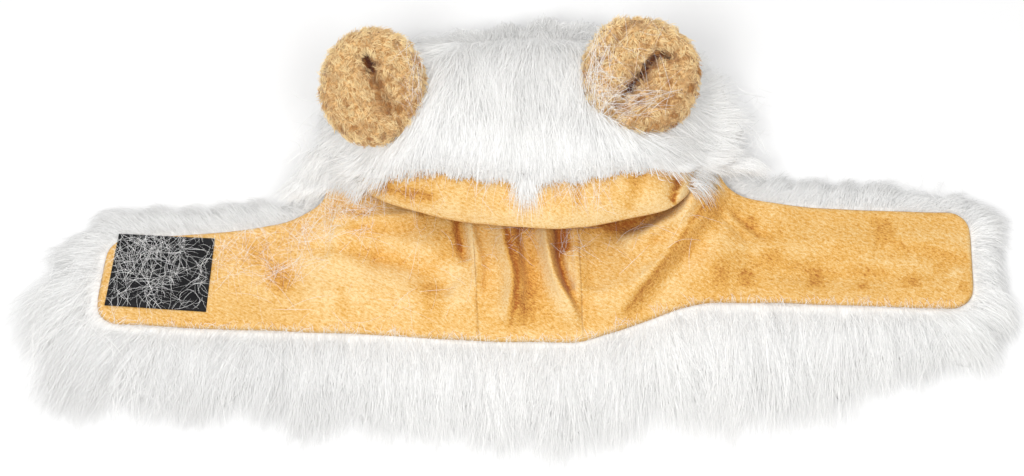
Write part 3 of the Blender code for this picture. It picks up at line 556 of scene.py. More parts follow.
def crown_outline(steps):
    """The crown's hem as a ring of x, y and z: on the band's lining, raised at the mouth."""
    x, y, stand = ring_through([row[1:] for row in CROWN_ROWS], steps).T
    stand = np.maximum(stand, 0.0)
    seat = lining_top(x, y)
    reach = int(steps * LIP_EVENING)
    level = np.mean([np.roll(seat, k) for k in range(-reach, reach + 1)], axis=0)
    return np.c_[x, y, seat + (level - seat) * ease(stand / MOUTH_STAND) + GAP + CROWN_WALL + stand]


def crown_surface(outline, share):
    """The dome at a share of its radius: 0 is the level line along its middle and 1 its hem."""
    share = np.broadcast_to(share, (len(outline),))[:, None]
    spread = share + (1 - share) * (CROWN_SPINE, 0.0)
    plan = CROWN_CENTRE + (outline[:, :2] - CROWN_CENTRE) * spread
    rise = 1 - np.clip(share[:, 0], 0.0, 1.3) ** CROWN_POWER
    return np.c_[plan, outline[:, 2] + (CROWN_TOP - outline[:, 2]) * rise]


def mouth_share(outline):
    """1 along the mouth and 0 along the seated hem, by how far the hem stands off its seat."""
    stand = outline[:, 2] - lining_top(outline[:, 0], outline[:, 1]) - GAP - CROWN_WALL
    return ease(stand / MOUTH_STAND)


def brow_swell(share, mouth):
    """How far the rolled brow hem stands above the dome, none away from the mouth."""
    middle, half = (BROW_INNER + BROW_OUTER) / 2, (BROW_OUTER - BROW_INNER) / 2
    across = np.clip(1 - ((share - middle) / half) ** 2, 0.0, 1.0)
    return BROW_THICKNESS * np.sqrt(across) * mouth


hem_ring = crown_outline(RING_STEPS)
hem_mouth = mouth_share(hem_ring)
print("the mouth is", round(float(np.ptp(hem_ring[hem_mouth > 0.5, 0]))), "mm wide")

# %% [markdown]
# ## The velour lining
# The band is lined with three panels of tan velour, joined at two seams. Each starts as a plane
# grid, whose corners are moved to the panel's edges and whose height follows the folds. A Solidify
# modifier gives the cloth its wall. A cloth simulation would drape it as well, but it wouldn't put
# the folds where the photograph has them, so they come from the table.

# %% Grid helpers


def select_only(obj):
    bpy.ops.object.select_all(action="DESELECT")
    obj.select_set(True)
    bpy.context.view_layer.objects.active = obj


def read_points(obj):
    """A mesh's points, one to a row."""
    flat = np.empty(len(obj.data.vertices) * 3, np.float32)
    obj.data.vertices.foreach_get("co", flat)
    return flat.reshape(-1, 3)


def set_points(obj, points):
    """Moves a mesh's points to places in the wig's millimetres."""
    obj.data.vertices.foreach_set("co", placed(points).astype(np.float32).ravel())
    obj.data.update()


def cloth_grid(name, columns, rows):
    """A plane grid primitive, and its points' column and row numbers."""
    bpy.ops.mesh.primitive_grid_add(x_subdivisions=columns - 1, y_subdivisions=rows - 1, size=1.0)
    obj = bpy.context.object
    obj.name = obj.data.name = name
    points = read_points(obj)
    column = np.rint((points[:, 0] + 0.5) * (columns - 1)).astype(int)
    row = np.rint((points[:, 1] + 0.5) * (rows - 1)).astype(int)
    return obj, column, row


def apply_modifier(obj, kind, **settings):
    select_only(obj)
    modifier = obj.modifiers.new(kind.lower(), kind)
    for name, value in settings.items():
        setattr(modifier, name, value)
    bpy.ops.object.modifier_apply(modifier=modifier.name)


def finish_piece(obj, finish, slot, *nodes):
    """Smooth shading, its finish, its body and the nodes that it stands for."""
    select_only(obj)
    bpy.ops.object.shade_smooth()
    obj.data.materials.clear()
    obj.data.materials.append(finish.material)
    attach(obj, "root")
    if nodes:
        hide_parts(*nodes)
    obj.data.calc_loop_triangles()
    print(obj.name, len(obj.data.loop_triangles), "triangles")


def cut_area(x, y):
    """Flat area in square metres of a grid of places in millimetres."""
    dx_u, dy_u = np.diff(x, axis=1)[:-1], np.diff(y, axis=1)[:-1]
    dx_v, dy_v = np.diff(x, axis=0)[:, :-1], np.diff(y, axis=0)[:, :-1]
    return float(np.abs(dx_u * dy_v - dy_u * dx_v).sum()) * MM * MM


# %% The velour's finish
# The velour's colour runs from deep tan in painted shade to light tan in painted light, by a tone that sums
# painted light and shade with knit, grain and nap
VELOUR_DEEP = (0.40, 0.115, 0.010)
VELOUR_MID = (0.785, 0.415, 0.082)
VELOUR_LIGHT = (0.955, 0.705, 0.355)

velour = Finish("velour", VELOUR_MID, 0.85, Sheen_Weight=0.10, Sheen_Roughness=0.5)
slanted = velour.place(turn=(0.0, 0.0, -0.45), stretch=(2.2, 1.0, 1.0))
knit = velour.noise(1.35, slanted, detail=2.0, roughness=0.75)
grain = velour.noise(3.0, velour.place(), detail=1.0)
nap = velour.noise(0.07, velour.place(), detail=2.0, roughness=0.5)
tone = velour.attribute("tone") + (knit - 0.5) * 1.5 + (grain - 0.5) * 0.6 + (nap - 0.5) * 0.25
lower = velour.mix(tone * 2.0, VELOUR_DEEP, VELOUR_MID)
velour.wear(Base_Color=velour.mix(tone * 2.0 - 1.0, lower, VELOUR_LIGHT))
velour.wear(Normal=velour.bump(knit, 0.6, 0.7))


def softened(grid, times):
    """A grid blurred: each place takes a share of its neighbours, a number of times."""
    for _ in range(times):
        wide = np.pad(grid, 1, mode="edge")
        sides = wide[:-2, 1:-1] + wide[2:, 1:-1] + wide[1:-1, :-2] + wide[1:-1, 2:]
        grid = (2.0 * wide[1:-1, 1:-1] + sides) / 6.0
    return grid


# Painted light and shade: the tone rises on crests and on slopes that face the light, and falls in valleys
TONE_BASE, TONE_BY_HEIGHT, TONE_BY_SLOPE, TONE_CRUSHED = 0.645, 0.07, 0.18, 0.23
# How often the heights are blurred before they are read as crests and as slopes, and the
# steepest slope that counts
CREST_BLUR, SLOPE_BLUR, SLOPE_MOST = 26, 1, 1.2


def velour_tone(x, y, z):
    """Painted light and shade: lighter on crests and where the nap faces the light, darker in valleys and
    dents.
    """
    height = z - softened(z, CREST_BLUR)
    slope = np.gradient(softened(z, SLOPE_BLUR), axis=1) / np.maximum(np.gradient(x, axis=1), 0.2)
    slope = np.clip(slope, -SLOPE_MOST, SLOPE_MOST)
    made = TONE_BASE + TONE_BY_HEIGHT * height + TONE_BY_SLOPE * slope
    for row in CRUSHED_ROWS:
        near = ((x - row[0]) / row[2]) ** 4 + ((y - row[1]) / row[3]) ** 4
        made = made - TONE_CRUSHED * np.exp(-near)
    made = made + all_folds(x, y, LIGHT_SHADE_AND_STITCH_ROWS)
    return np.clip(made, 0.02, 1.0)


def add_number(obj, name, values):
    """Keeps a number for each point of a mesh, for its finish or a later cell to read."""
    made = obj.data.attributes.new(name, "FLOAT", "POINT")
    made.data.foreach_set("value", np.ascontiguousarray(values, np.float32).ravel())


# %% Three panels of lining
EDGE_ROLL, EDGE_DEPTH = 2.4, 2.0
SEAM_ROLL, SEAM_DEPTH = 1.2, 0.10
UNEVEN_HEIGHT, UNEVEN_TO_Y, UNEVEN_FADE = 0.35, 30.0, 10.0
WOBBLE_SEED, WOBBLE_COUNT, WOBBLE_PER_MM = 5, 14, 0.14
wobble = np.random.default_rng(WOBBLE_SEED)
WOBBLES = [
    # wave number in x and y per mm, phase
    (*(wobble.normal(0.0, 1.0, 2) * WOBBLE_PER_MM), wobble.uniform(0.0, 6.28))
    for _ in range(WOBBLE_COUNT)
]


def uneven(x, y):
    """A gentle random unevenness, from -1 to 1 or so."""
    return sum(np.sin(a * x + b * y + c) for a, b, c in WOBBLES) / 3.2


def panel_places(start, stop, lean_start, lean_stop, columns, rows):
    """Plan places of a panel: rows run from its front edge to its back edge, and columns crowd
    towards an end without a lean, which is a free end."""
    base = np.linspace(start, stop, columns)[None, :]
    quarter = np.linspace(0, 1, columns)[None, :] * math.pi / 2
    for lean, crowded in ((lean_start, 1 - np.cos(quarter)), (lean_stop, np.sin(quarter))):
        if lean == 0.0:
            base = 0.5 * (start + (stop - start) * crowded) + 0.5 * base
    front, back = front_edge(base), back_edge(base)
    crowding = 0.55 * ease((back - front - 60.0) / 60.0)
    share = np.linspace(0.0, 1.0, rows)[:, None]
    y = front + (back - front) * (share * (1 - crowding) + crowding * share**3)
    along = (base - start) / (stop - start)
    left = start + lean_start * (y - SEAM_PIVOT_Y)
    right = stop + lean_stop * (y - SEAM_PIVOT_Y)
    return leaned(left + (right - left) * along, y), y


def rolled(distance, width, depth):
    """How far cloth drops at a turned edge, from the distance to that edge."""
    near = np.clip(1 - distance / width, 0.0, 1.0)
    return depth * (1 - np.sqrt(1 - near**2))


def lining_panel(name, start, stop, lean_start, lean_stop, columns, rows):
    """One panel of the lining between two seams, or between a seam and a free end."""
    obj, column, row = cloth_grid(name, columns, rows)
    x, y = panel_places(start, stop, lean_start, lean_stop, columns, rows)
    z = lining_top(x, y, FOLD_ROWS + SMALL_FOLD_ROWS)
    z = z + UNEVEN_HEIGHT * uneven(x, y) * ease((UNEVEN_TO_Y - y) / UNEVEN_FADE)
    tone = velour_tone(x, y, z)
    z = z - rolled(np.minimum(y - y[0], y[-1] - y), EDGE_ROLL, EDGE_DEPTH)
    for lean, side in ((lean_start, x - x[:, :1]), (lean_stop, x[:, -1:] - x)):
        roll = (EDGE_ROLL, EDGE_DEPTH) if lean == 0.0 else (SEAM_ROLL, SEAM_DEPTH)
        z = z - rolled(np.abs(side), *roll)
    set_points(obj, np.stack([x[row, column], y[row, column], z[row, column]], axis=1))
    add_number(obj, "tone", tone[row, column])
    area = cut_area(x, y)
    apply_modifier(obj, "SOLIDIFY", thickness=LINING_WALL * MM, offset=-1.0, use_even_offset=True)
    finish_piece(obj, velour, "lining_velour", name.replace("velour", "lining"))
    width, length = float(np.ptp(x)) * MM, float(np.ptp(y)) * MM
    print("  flat", round(width, 3), "by", round(length, 3), "m, area", round(area, 4))


lining_panel("velour_left", LEFT_END, SEAM_LEFT_X, 0.0, SEAM_LEFT_LEAN, 156, 66)
lining_panel("velour_centre", SEAM_LEFT_X, SEAM_RIGHT_X, SEAM_LEFT_LEAN, SEAM_RIGHT_LEAN, 66, 90)
lining_panel("velour_right", SEAM_RIGHT_X, RIGHT_END, SEAM_RIGHT_LEAN, 0.0, 160, 66)

# %% [markdown]
# ## The crown's lining and its rolled brow hem
# The crown is a second layer over the band, raised where the head goes in. Its velour turns out
# over the brow in a soft padded roll. A UV sphere has the right build for a dome with two skins:
# its lower half becomes the inside, its equator the hem, and its upper half the outside.

# %% A sphere remade as a shell


def ring_shell(name, rings, low_pole, high_pole, flow=None, **numbers):
    """A UV sphere whose rings, from the lowest up, are moved to the given rings of points."""
    steps, count = len(rings[0]), len(rings)
    bpy.ops.mesh.primitive_uv_sphere_add(segments=steps, ring_count=count + 1, radius=1.0)
    obj = bpy.context.object
    obj.name = obj.data.name = name
    x, y, z = read_points(obj).T
    polar = np.arccos(np.clip(-z, -1.0, 1.0)) / math.pi * (count + 1)
    ring = np.rint(polar).astype(int) - 1
    around = np.rint(np.arctan2(y, x) / (2 * math.pi) * steps).astype(int) % steps
    near = np.clip(ring, 0, count - 1)
    points = np.array(rings)[near, around]
    points[ring < 0] = low_pole
    points[ring >= count] = high_pole
    set_points(obj, points)
    at_pole = (ring < 0) | (ring >= count)
    add_number(obj, "step", (ring + 1) * steps + np.where(at_pole, 0, around))
    for key, values in numbers.items():
        add_number(obj, key, np.array(values)[near, around])
    if flow is not None:
        made = obj.data.attributes.new("flow", "FLOAT_VECTOR", "POINT")
        made.data.foreach_set("vector", np.array(flow)[near, around].astype(np.float32).ravel())
    return obj


BROW_FOLD_ROWS = (
    # name, points, height, left, right
    ("brow pleat one", ((69.5, 10.0), (67.6, 3.5), (65.0, -1.5)), -2.4, 1.3, 1.5),
    ("brow pleat two", ((76.0, 14.0), (74.5, 6.0), (71.0, 0.0)), -2.4, 1.4, 1.5),
    ("brow pleat crest", ((72.5, 12.0), (71.2, 5.0), (68.4, -0.5)), 1.7, 1.8, 1.8),
    ("brow dent", ((53.0, 9.0), (51.0, 0.0), (49.0, -7.0)), -0.9, 2.6, 2.6),
    ("brow line", ((28.0, 6.0), (27.5, -2.0), (27.0, -9.0)), -0.5, 1.2, 1.2),
    ("brow left crease", ((-54.0, 8.0), (-44.0, 2.0), (-30.0, -2.0)), -1.1, 1.8, 2.4),
    ("brow left gather", ((-52.0, 12.0), (-46.0, 9.0), (-38.0, 7.0)), -0.9, 1.4, 1.4),
)
# Painted shade in the brow's pleats, creases and dents, and painted light along a pleat's crest
BROW_LIGHT_AND_SHADE_ROWS = (
    # name, points, change of tone, left, right
    ("pleat one", ((68.5, 9), (67.6, 3), (66.2, -2)), -0.75, 0.8, 1.3),
    ("pleat two", ((75.6, 11), (74.4, 5), (72.8, 0)), -0.75, 0.8, 1.3),
    ("pleat light", ((72.4, 10), (71.2, 4), (69.6, 0)), 0.2, 1.2, 1.2),
    ("pleat hook", ((66.0, -1.2), (68.2, -2.4), (71.4, -1.2)), -0.5, 0.8, 0.8),
    ("left crease", ((-58, 10), (-47, 4), (-32, 0)), -0.34, 1.0, 2.2),
    ("left crease two", ((-50, 13), (-40, 9), (-26, 8)), -0.22, 1.2, 2.0),
    ("right dent", ((50, 8), (49, 0), (47, -6)), -0.18, 2.0, 2.6),
    ("middle line", ((27, 7), (27.4, 0), (27, -8)), -0.12, 0.8, 1.4),
    ("top shade", ((-40, 9), (-10, 6), (20, 5), (52, 9)), -0.12, 4.0, 4.0),
)
# Shares of the way from the crown's middle to its hem: the inner skin's rings, the lip's and the
# outer skin's
INNER_SHARES = (0.1, 0.3, 0.5, 0.65, 0.75, 0.84, 0.91, 0.96)
LIP_SHARES, LIP_DROP, LIP_NOSE = (0.985, 1.0, 1.008), 0.9, 0.16
OUTER_SHARES = (
    *(0.995, 0.98, 0.96, 0.93, 0.90, 0.86, 0.82, 0.78),
    *(0.74, 0.70, 0.66, 0.63, 0.61, 0.6, 0.5, 0.3, 0.1),
)
# Painted light and shade on the crown's velour: dark inside the hood, lighter over the lip towards its nose
# and where the relief rises, darker where it sinks
INNER_PAINTED_SHADE, LIP_PAINTED_LIGHT, BROW_TONE = 0.35, (0.45, 0.62, 0.74), 0.71
TONE_BY_RELIEF, TONE_AT_LIP = 0.22, 0.14
# How fast the brow's folds and tones fade in, per share of the way
SHARE_EDGE = 8.0
# What the dome's height and the roll add to the hem's size in plan: across, and front to back
HEM_STEPS = 384
hem = crown_outline(HEM_STEPS)
mouth = mouth_share(hem)
wall = np.array((0.0, 0.0, CROWN_WALL))
angle = np.linspace(0.0, 2 * math.pi, HEM_STEPS, endpoint=False)
puckers = 0.12 * np.sin(31 * angle) + 0.12 * np.sin(19 * angle + 1.0) + 0.10 * np.sin(47 * angle + 2.0)

# %% The crown's lining, ring by ring
rings = [crown_surface(hem, share) - wall for share in INNER_SHARES]
tones = [np.full(HEM_STEPS, INNER_PAINTED_SHADE)] * len(rings)
low, lip, nose = (crown_surface(hem, share) for share in LIP_SHARES)
lip[:, 2] -= LIP_DROP
nose[:, 2] += LIP_NOSE * BROW_THICKNESS * mouth
rings += [low - wall * 0.9, lip, nose]
tones += [np.full(HEM_STEPS, value) for value in LIP_PAINTED_LIGHT]
for share in OUTER_SHARES:
    ring = crown_surface(hem, share)
    folds = all_folds(ring[:, 0], ring[:, 1], BROW_FOLD_ROWS)
    shade = all_folds(ring[:, 0], ring[:, 1], BROW_LIGHT_AND_SHADE_ROWS) * ease((share - 0.55) * SHARE_EDGE)
    relief = (puckers * mouth + folds) * ease((share - 0.6) * SHARE_EDGE)
    ring[:, 2] += brow_swell(share, mouth) + relief
    rings.append(ring)
    lit = TONE_AT_LIP * ease((share - 0.85) * SHARE_EDGE)
    tones.append(np.clip(BROW_TONE + shade + TONE_BY_RELIEF * relief + lit, 0.0, 1.0))
top = np.array((*CROWN_CENTRE, CROWN_TOP))
crown_lining = ring_shell("velour_crown", rings, top - wall, top, tone=tones)
finish_piece(crown_lining, velour, "lining_velour", "lining_crown")

# %% [markdown]
# ## The hook patch
# Hook tape is a woven tape with hundreds of stiff nylon hooks. A slab with a woven bump carries
# it, and each hook is one bent ribbon, all joined in one mesh from arrays.

# %% Ribbons in one mesh


def ribbons(name, paths, half_widths, sides, **numbers):
    """Many thin ribbons as one mesh: paths are (ribbon, step, xyz), each ends in a point. Each
    number is kept for all the points of its ribbon."""
    count, steps = paths.shape[:2]
    body, tip = paths[:, :-1], paths[:, -1:]
    spread = sides[:, :-1] * half_widths[:, :-1, None]
    pairs = np.stack([body - spread, body + spread], axis=2).reshape(count, -1, 3)
    points = np.concatenate([pairs, tip], axis=1)
    per = points.shape[1]
    quad = np.array([(2 * k, 2 * k + 1, 2 * k + 3, 2 * k + 2) for k in range(steps - 2)])
    last = np.array([(per - 3, per - 2, per - 1)])
    corners = np.concatenate([quad.ravel(), last.ravel()])
    loops = (np.arange(count)[:, None] * per + corners[None]).ravel()
    starts_one = np.r_[np.arange(steps - 2) * 4, (steps - 2) * 4]
    starts = (np.arange(count)[:, None] * len(corners) + starts_one[None]).ravel()
    mesh = bpy.data.meshes.new(name)
    mesh.vertices.add(count * per)
    mesh.loops.add(len(loops))
    mesh.polygons.add(len(starts))
    mesh.vertices.foreach_set("co", placed(points.reshape(-1, 3)).astype(np.float32).ravel())
    mesh.loops.foreach_set("vertex_index", loops.astype(np.int32))
    mesh.polygons.foreach_set("loop_start", starts.astype(np.int32))
    mesh.update(calc_edges=True)
    obj = bpy.data.objects.new(name, mesh)
    scene.collection.objects.link(obj)
    for key, values in numbers.items():
        add_number(obj, key, np.broadcast_to(np.asarray(values)[:, None], (count, per)))
    return obj


def across(paths, roll):
    """Unit vectors across each ribbon at each step, rolled about its own way by an angle."""
    way = np.gradient(paths, axis=1)
    way /= np.linalg.norm(way, axis=2, keepdims=True) + 1e-9
    flat = np.cross(way, (0.0, 0.0, 1.0))
    flat /= np.linalg.norm(flat, axis=2, keepdims=True) + 1e-9
    up = np.cross(flat, way)
    return flat * np.cos(roll)[:, None, None] + up * np.sin(roll)[:, None, None]


# %% The tape
HOOK_CORNERS = ((-163.5, -6.4), (-123.5, -8.6), (-126.0, -42.0), (-168.0, -39.0))
TAPE_BOTTOM, TAPE_BASE, TAPE_SHEET = 13.3, 0.9, 0.7
TAPE_COLUMNS, TAPE_ROWS = 45, 37
TAPE_WIDE, TAPE_DEEP = 42.0, 33.0
# A stitched groove runs round the tape, this far in, this deep and this wide
GROOVE_IN, GROOVE_DEPTH, GROOVE_WIDTH = 2.2, 0.25, 0.5
HOOK_COLUMNS, HOOK_ROWS, HOOK_SEED = 58, 46, 31
# A hook's line, sideways and up from its foot
HOOK_SHAPE = ((0.0, -0.1), (0.0, 0.45), (0.22, 0.7), (0.45, 0.55), (0.5, 0.3))
HOOK_HALF_WIDTH = 0.11


def woven(name, colour, roughness, tones, per_mm, distance_mm, strength, **constants):
    """A finish whose colour and whose surface each follow a noise of so many waves per mm."""
    finish = Finish(name, colour, roughness, **constants)
    place = finish.place()
    finish.wear(
        Base_Color=finish.mix(finish.noise(per_mm[0], place), *tones),
        Normal=finish.bump(finish.noise(per_mm[1], place), distance_mm, strength),
    )
    return finish


TAPE_TONES = ((0.008, 0.008, 0.009), (0.03, 0.03, 0.032))
LOOP_TONES = ((0.02, 0.02, 0.022), (0.07, 0.07, 0.074))
tape_weave = woven(
    "hook_tape", (0.025, 0.025, 0.028), 0.7, TAPE_TONES, (1.6, 2.2), 0.3, 0.8, Specular_IOR_Level=0.15
)
loop_pile = woven("loop_pile", (0.04, 0.04, 0.042), 0.9, LOOP_TONES, (2.5, 3.0), 0.4, 0.9)
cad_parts["loop_patch"].data.materials[0] = loop_pile.material


def on_tape(u, v):
    """A place on the patch: u runs along its back edge and v from back to front."""
    a, b, c, d = (np.array(corner) for corner in HOOK_CORNERS)
    u, v = np.asarray(u)[..., None], np.asarray(v)[..., None]
    return (a * (1 - u) + b * u) * (1 - v) + (d * (1 - u) + c * u) * v


tape, column, row = cloth_grid("hook_tape_base", TAPE_COLUMNS, TAPE_ROWS)
u, v = column / (TAPE_COLUMNS - 1), 1 - row / (TAPE_ROWS - 1)
edge = np.minimum.reduce([u * TAPE_WIDE, (1 - u) * TAPE_WIDE, v * TAPE_DEEP, (1 - v) * TAPE_DEEP])
weave = 0.06 * np.sin(column * 2.1) * np.sin(row * 2.3)
height = TAPE_BOTTOM + TAPE_BASE + weave - rolled(edge, 0.9, 0.5)
height -= GROOVE_DEPTH * np.exp(-(((edge - GROOVE_IN) / GROOVE_WIDTH) ** 2))
set_points(tape, np.c_[on_tape(u, v), height])
apply_modifier(tape, "SOLIDIFY", thickness=TAPE_SHEET * MM, offset=-1.0)
finish_piece(tape, tape_weave, "hook_tape", "hook_patch")

# %% The hooks, in rows that bend to either side by turns
draw = np.random.default_rng(HOOK_SEED)
hook_u, hook_v = np.meshgrid(np.linspace(0.07, 0.93, HOOK_COLUMNS), np.linspace(0.09, 0.91, HOOK_ROWS))
foot = on_tape(hook_u.ravel() + draw.normal(0, 0.002, hook_u.size), hook_v.ravel())
lean = np.where((np.arange(hook_u.size) // HOOK_COLUMNS) % 2 == 0, 1.0, -1.0)
hook_x, hook_y = foot.T
hook_steps = [
    np.c_[hook_x + lean * dx, hook_y, np.full(len(foot), TAPE_BOTTOM + TAPE_BASE + dz)]
    for dx, dz in HOOK_SHAPE
]
hook_paths = np.stack(hook_steps, axis=1)
hook_sides = np.broadcast_to(np.array((0.0, 1.0, 0.0)), hook_paths.shape)
hook_widths = np.full(hook_paths.shape[:2], HOOK_HALF_WIDTH)
hooks = ribbons("tape_hooks", hook_paths, hook_widths, hook_sides)
finish_piece(hooks, tape_weave, "hook_tape")

# %% [markdown]
# ## The ears
# Each ear is a stuffed round pad of curly plush, pinched to a deep crease in its face. The pad is
# a sphere remade ring by ring from the crease outwards, and the plush is short curled ribbons that
# stand in clumps, because a bump alone leaves the edge of the ear too clean.

# %% Ear pads
EAR_ROWS = {
    # x, y, z, width, height, tilt back in degrees
    "ear_left": (-57.0, 38.5, 60.0, 42.0, 46.0, 63.0),
    "ear_right": (52.5, 43.0, 60.5, 47.0, 46.5, 63.0),
}
EAR_THICKNESS = 17.0
EAR_SEGMENTS, EAR_RING_COUNT = 112, 46
# A dent takes painted shade where it is deeper than this, and is darkest some way below that
DARK_FROM, DARK_FADE, DARK_MOST = 5.6, 4.0, 0.9
# The pad's section from the middle of its face over the edge to the middle of its back
EAR_SECTION = (
    # share of the outline, height in thicknesses
    (0.00, 0.50),
    (0.30, 0.53),
    (0.60, 0.53),
    (0.86, 0.40),
    (0.97, 0.18),
    (1.00, -0.02),
    (0.93, -0.25),
    (0.62, -0.40),
    (0.00, -0.46),
)
# What is pressed into each face: the line it follows across and up the face, depth and width
EAR_DENTS = {
    "ear_left": (
        # points, depth, width
        (((-2.8, 12.0), (-2.0, 9.6), (-1.0, 8.0)), 7.0, 2.6),
        (((-1.0, 8.0), (1.2, 3.0), (2.6, -1.0), (6.0, -8.0), (9.6, -13.0)), 2.2, 2.2),
        (((-1.0, 8.0), (3.0, -3.0), (6.0, -9.0)), 4.2, 7.0),
        (((-15.0, 1.0), (-15.5, -4.0), (-12.0, -9.0)), 1.6, 2.4),
        (((12.0, 10.0), (14.0, 2.0), (13.0, -5.0)), 1.0, 2.4),
    ),
    "ear_right": (
        (((12.0, 8.0), (8.0, 8.8), (4.2, 6.0), (0.6, 0.6), (-4.4, -5.4)), 6.0, 2.0),
        (((-4.0, -5.0), (-9.4, -11.7), (-12.0, -15.0)), 2.6, 1.6),
        (((8.0, 7.0), (0.0, 0.0), (-7.0, -9.0)), 4.2, 6.5),
        (((-6.0, 23.0), (-8.5, 16.0), (-14.0, 9.0), (-19.0, 6.0)), 2.8, 2.2),
    ),
}
# Lobes of each outline: where they point in degrees, size and spread
EAR_LOBES = {
    "ear_left": ((60.0, 0.02, 30.0), (250.0, 0.02, 40.0)),
    "ear_right": ((118.0, 0.055, 20.0), (92.0, -0.03, 10.0), (20.0, 0.02, 30.0), (300.0, 0.03, 30.0)),
}

plush = Finish("ear_plush", (0.72, 0.44, 0.18), 0.9, Sheen_Weight=0.3, Sheen_Roughness=0.5)
curl = plush.noise(0.7, plush.place(), detail=3.0, roughness=0.65)
plush_tone = plush.mix(plush.ramp(curl, 0.38, 0.64), (0.40, 0.20, 0.06), (0.88, 0.59, 0.27))
# Painted shade: the plush turns almost black where a dent is deep
plush.wear(
    Base_Color=plush.mix(plush.attribute("deep"), plush_tone, (0.16, 0.035, 0.015)),
    Normal=plush.bump(curl, 1.0, 0.7),
)

ear_fibre = Finish("ear_fibre", (0.78, 0.48, 0.19), 0.85, Sheen_Weight=0.2, Specular_IOR_Level=0.2)
fibre_tone = ear_fibre.mix(ear_fibre.attribute("shade"), (0.56, 0.28, 0.09), (1.0, 0.80, 0.45))
# The fibres take the same painted shade where a dent is deep
ear_fibre.wear(Base_Color=ear_fibre.mix(ear_fibre.attribute("deep"), fibre_tone, (0.17, 0.035, 0.015)))


def ear_axes(name):
    """The ear's middle and its directions: across, up along the face, and out of the face."""
    x, y, z, _, _, tilt_back = EAR_ROWS[name]
    back = math.radians(tilt_back)
    up = np.array((0.0, math.sin(back), math.cos(back)))
    face = np.array((0.0, -math.cos(back), math.sin(back)))
    return np.array((x, y, z)), np.array((1.0, 0.0, 0.0)), up, face


def face_dent(name, u, v):
    """How deep the face is pressed in at the places u across and v up it."""
    depth = np.zeros_like(u)
    for points, deepest, width in EAR_DENTS[name]:
        line = line_through(points, 30)
        near = np.hypot(u[..., None] - line[:, 0], v[..., None] - line[:, 1]).min(axis=-1)
        depth = depth + deepest * np.exp(-((near / width) ** 2))
    return depth


def painted_crease_shade(dent):
    """How much painted shade a dent has at its depth: the finishes read it."""
    return np.clip((dent - DARK_FROM) / DARK_FADE, 0.0, DARK_MOST)


def ear_rings(name):
    """Rings of an ear's skin from the middle of its face to the middle of its back."""
    _, _, _, width, height, _ = EAR_ROWS[name]
    middle, side, up, face = ear_axes(name)
    table = np.array(EAR_SECTION)
    stations = np.r_[0.0, np.cumsum(np.hypot(*(np.diff(table, axis=0) * (1.0, 0.7)).T))]
    angles = np.linspace(0.0, 2 * math.pi, EAR_SEGMENTS, endpoint=False)
    round_edge = np.ones(EAR_SEGMENTS)
    for heading, size, spread in EAR_LOBES[name]:
        away = (np.degrees(angles) - heading + 180.0) % 360.0 - 180.0
        round_edge = round_edge + size * np.exp(-((away / spread) ** 2))
    made, deep = [], []
    for at in np.linspace(0.015, 0.985, EAR_RING_COUNT) * stations[-1]:
        outline_share, raised = (float(smooth(at, stations, table[:, k])) for k in (0, 1))
        u = width / 2 * np.cos(angles) * outline_share * round_edge
        v = height / 2 * np.sin(angles) * outline_share * round_edge
        dent = face_dent(name, u, v) * ease(raised * 4.0)
        lump = 0.35 * np.sin(5 * angles + 4.0 * outline_share) * outline_share
        w = raised * EAR_THICKNESS - dent + lump
        made.append(middle + np.outer(u, side) + np.outer(v, up) + w[:, None] * face)
        deep.append(painted_crease_shade(dent))
    return made, deep


def face_place(points, name):
    """Places as distances across, up and out of an ear's face."""
    middle, side, up, face = ear_axes(name)
    away = points - middle
    return away @ side, away @ up, away @ face


ear_pads = {}
for name in EAR_ROWS:
    rings, deep = ear_rings(name)
    back_middle, face_middle = rings[-1].mean(axis=0), rings[0].mean(axis=0)
    pad = ring_shell(name + "_pad", rings[::-1], back_middle, face_middle, deep=deep[::-1])
    finish_piece(pad, plush, "ear_plush", name)
    ear_pads[name] = pad

# %% Curly plush on the ears
EAR_FIBRES, EAR_SEED = 18000, 41
EAR_CLUMP, EAR_GATHER = 30, 0.55
FIBRE_STEPS, FIBRE_TAPER = 4, (0.8, 1.0, 0.8, 0.0)
FIBRE_LENGTHS, FIBRE_HALF_WIDTHS = (1.0, 2.6), (0.08, 0.16)
# A clump's shade has this mean and spread, and goes down with each millimetre of a dent as painted shade
CLUMP_SHADE, CLUMP_SHADE_SPREAD, SHADE_BY_DENT = 0.98, 0.46, 0.13
# Painted light: the ears are lighter towards their upper left, by this much at this distance
EAR_SHADE, EAR_SHADE_REACH = 0.35, 30.0


def nearest_seed(places, draw, size):
    """A random seed place for each clump of about that size, and the nearest one to each place."""
    seeds = draw.choice(len(places), max(2, len(places) // size), replace=False)
    parts = np.array_split(places, max(1, len(places) // 1500))
    near = [np.argmin(((part[:, None] - places[seeds][None]) ** 2).sum(-1), axis=1) for part in parts]
    return seeds, np.concatenate(near)


def face_order(mesh):
    """The faces sorted by their corners' steps, as a sphere's own order isn't the same each run."""
    corners = np.empty(len(mesh.loops), np.int32)
    starts = np.empty(len(mesh.polygons), np.int32)
    steps = np.empty(len(mesh.vertices), np.float32)
    mesh.loops.foreach_get("vertex_index", corners)
    mesh.polygons.foreach_get("loop_start", starts)
    mesh.attributes["step"].data.foreach_get("value", steps)
    corner_steps = steps[corners].astype(int)
    return np.lexsort([way.reduceat(corner_steps, starts) for way in (np.add, np.maximum, np.minimum)])


